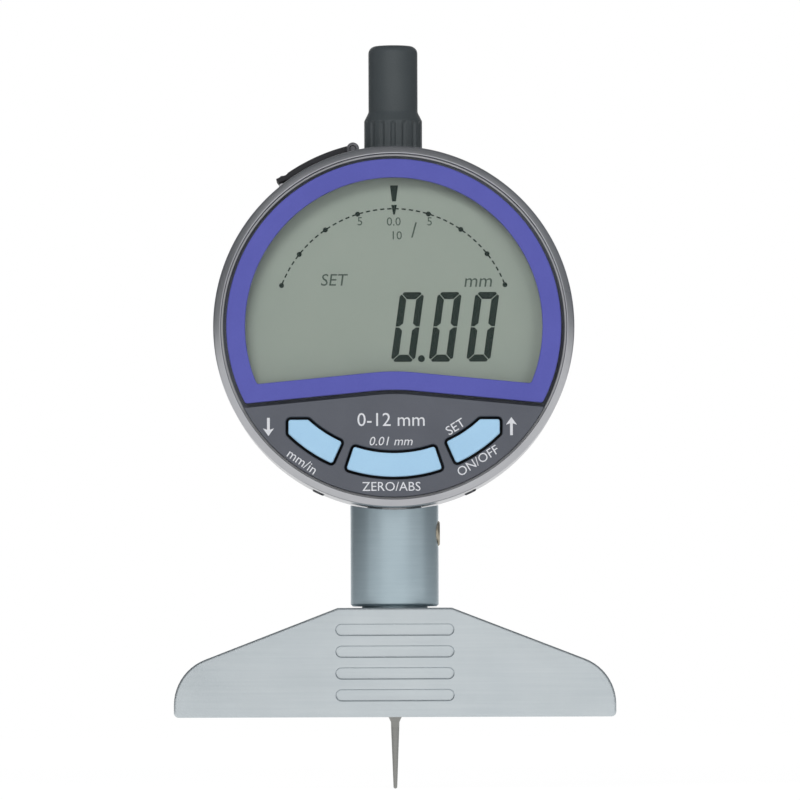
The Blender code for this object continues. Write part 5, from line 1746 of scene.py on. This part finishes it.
@dataclass
class Inside(SubAssembly):
    """The pieces inside, whose CAD shapes stay, with finishes of their own."""

    def build(self) -> None:
        """Dresses every inner piece."""
        self.dress_nodes(POLISHED, "spindle_rod", "guide_rail", "return_spring", "indicator_stem")
        self.dress_nodes(POLISHED, "battery_cell")
        self.dress_nodes(BRASS, "stem_bush", "upper_bush", "scale_carrier", "battery_contact")
        self.dress_nodes(BOARD, "main_board", "sensor_board")
        self.dress_nodes(RUBBER, "zebra_strip", "key_mat", "stop_collar")
        self.dress_nodes(BLACK, "battery_holder")
        self.dress_nodes(DARK_STEEL, "carrier_screw")
        self.dress_nodes(CASE, "scale_strip")


@dataclass
class Studio:
    """The floor, the pale surroundings, the soft lights, the side cards and the camera."""

    floor_size: float = 6.0
    card_distance: float = 0.35
    card_depth: float = 0.6
    card_height: float = 0.5
    card_step_low: float = 0.04
    card_step_high: float = 0.07
    upper_near: float = 0.5
    card_tint: tuple[float, ...] = (0.9, 0.95, 1.0, 1.0)
    camera_distance: float = 1.3
    camera_rise: float = radians(2.0)
    camera_roll: float = radians(0.2)
    aim: Point = (0.7 * MM, 55.9 * MM)
    field_width: float = 115.1 * MM
    sensor: float = 36.0
    floor_white: float = 0.92
    floor_glow: float = 1.06
    world_light: float = 0.45
    lamp_target: Vector = (0.0, 0.0, 0.055)
    floor_colour: tuple[float, ...] = (0.9, 0.9, 0.9, 1.0)
    clip: Point = (0.01, 20.0)

    def seen_share(self, tree: Tree) -> Socket:
        """One for rays that show the background: camera, glossy and transmission rays.

        Args:
            tree: the tree that it is added to.

        Returns:
            The share, 0 or 1.
        """
        path = tree.add("LightPath")
        first = tree.math("ADD", path.outputs["Is Camera Ray"], path.outputs["Is Glossy Ray"], clamp=True)
        return tree.math("ADD", first, path.outputs["Is Transmission Ray"], clamp=True)

    def surroundings(self) -> None:
        """A pale world that is white where it is seen and softer where it lights."""
        world = bpy.data.worlds.new("pale_studio")
        bpy.context.scene.world = world
        tree = emptied(world)
        seen = self.seen_share(tree)
        lit, shown = tree.add("Background", WHITE, self.world_light), tree.add("Background", WHITE, 1.0)
        tree.add("OutputWorld", tree.add("MixShader", seen, lit.outputs[0], shown.outputs[0]).outputs[0])

    def panel(self, name: str, corners: list[Vector]) -> tuple[Piece, Tree]:
        """A flat stage piece with an empty material.

        Args:
            name: the piece's name.
            corners: its corners in order.

        Returns:
            The piece, and its material's node tree.
        """
        mesh = bpy.data.meshes.new(name)
        mesh.from_pydata(corners, [], [tuple(range(len(corners)))])
        piece = link(name, mesh)
        material = bpy.data.materials.new(name)
        mesh.materials.append(material)
        return piece, emptied(material)

    def card(self, name: str, side: int, low_near: float, high_near: float, light: float) -> None:
        """A dark upright card beside the gauge, whose upper part reaches further forward.

        Args:
            name: the card's name.
            side: -1 for the left, 1 for the right.
            low_near: how far its lower part reaches forward of the spindle.
            high_near: how far its upper part reaches forward.
            light: how brightly it shows in the metal.
        """
        x, far, top = side * self.card_distance, self.card_depth, self.card_height
        path = [(-low_near, 0.0), (-low_near, self.card_step_low), (-high_near, self.card_step_high)]
        path += [(-high_near, top), (far, top), (far, 0.0)]
        self.glow(name, [(x, y, z) for y, z in path], light)

    def glow(self, name: str, corners: list[Vector], light: float) -> None:
        """A faintly glowing panel that the camera doesn't see.

        Args:
            name: the panel's name.
            corners: its corners in order.
            light: how brightly it shows in the metal.
        """
        panel, tree = self.panel(name, corners)
        tree.add("OutputMaterial", tree.add("Emission", self.card_tint, light).outputs[0])
        panel.visible_camera = False

    def cards(self) -> None:
        """Dark cards beside and above the gauge that darken the edges of its metal."""
        self.card("left_card", -1, low_near=0.1, high_near=0.5, light=0.16)
        self.card("right_card", 1, low_near=0.04, high_near=0.5, light=0.24)
        x, near, far, top = self.card_distance, self.upper_near, self.card_depth, self.card_height
        corners = [(-x, -near, top), (x, -near, top), (x, far, top), (-x, far, top)]
        self.glow("upper_card", corners, light=0.17)

    def floor(self) -> None:
        """A white floor that shows a faint shadow, and is clear when it is seen from below."""
        half = self.floor_size / 2
        square = [(-half, -half, 0.0), (half, -half, 0.0), (half, half, 0.0), (-half, half, 0.0)]
        _, tree = self.panel("pale_floor", square)
        matt = tree.add("BsdfDiffuse", self.floor_colour)
        white = tree.add("Emission", WHITE, self.floor_glow)
        share = tree.math("MULTIPLY", self.seen_share(tree), self.floor_white)
        both = tree.add("MixShader", share, matt.outputs[0], white.outputs[0])
        below = tree.add("NewGeometry").outputs["Backfacing"]
        clear = tree.add("BsdfTransparent", WHITE)
        sides = tree.add("MixShader", below, both.outputs[0], clear.outputs[0])
        tree.add("OutputMaterial", sides.outputs[0])

    def lamp(self, name: str, place: Vector, size: float, power: float) -> None:
        """A square soft light that faces the gauge's middle and leaves no highlight in the metal.

        Args:
            name: the lamp's name.
            place: where it hangs.
            size: the length of its sides.
            power: its power in watts.
        """
        data = bpy.data.lights.new(name, "AREA")
        data.shape = "SQUARE"
        data.size = size
        data.energy = power
        lamp = link(name, data)
        lamp.visible_glossy = False
        lamp.location = place
        away = np.array(place) - self.lamp_target
        flat = np.hypot(away[0], away[1])
        lamp.rotation_euler = (atan2(flat, away[2]), 0.0, atan2(away[0], -away[1]))

    def camera(self) -> None:
        """The camera far in front and a little below, so that the rim's underside shows."""
        data = bpy.data.cameras.new("camera")
        data.sensor_width = self.sensor
        data.lens = self.sensor * self.camera_distance / self.field_width
        data.clip_start, data.clip_end = self.clip
        camera = link("camera", data)
        away, (x, z) = self.camera_distance, self.aim
        nearest = -away * cos(self.camera_rise) - LEVELS.plate_front / 2
        camera.location = (x, nearest, z - away * sin(self.camera_rise))
        camera.rotation_euler = (pi / 2 + self.camera_rise, self.camera_roll, 0.0)
        bpy.context.scene.camera = camera

    def build(self) -> None:
        """Sets up everything round the gauge."""
        bpy.context.scene.view_settings.view_transform = "Standard"
        self.surroundings()
        self.floor()
        self.cards()
        self.lamp("key_light", (-0.25, -0.75, 0.6), size=0.5, power=5.6)
        self.lamp("fill_light", (0.5, -0.55, 0.12), size=0.4, power=2.5)
        self.camera()


def main() -> None:
    """Builds the gauge's sub-assemblies in order, then the studio."""
    logging.basicConfig(level=logging.INFO, format="%(name)s: %(message)s")
    wardrobe = Wardrobe(Effects())
    parts = (MeasuringBase, Column, Needle, Cap, Case, Front, Readout, Keys, ConnectorCover, Back, Inside)
    for part in parts:
        part(wardrobe).build()
    Studio().build()


if __name__ == "__main__":
    main()
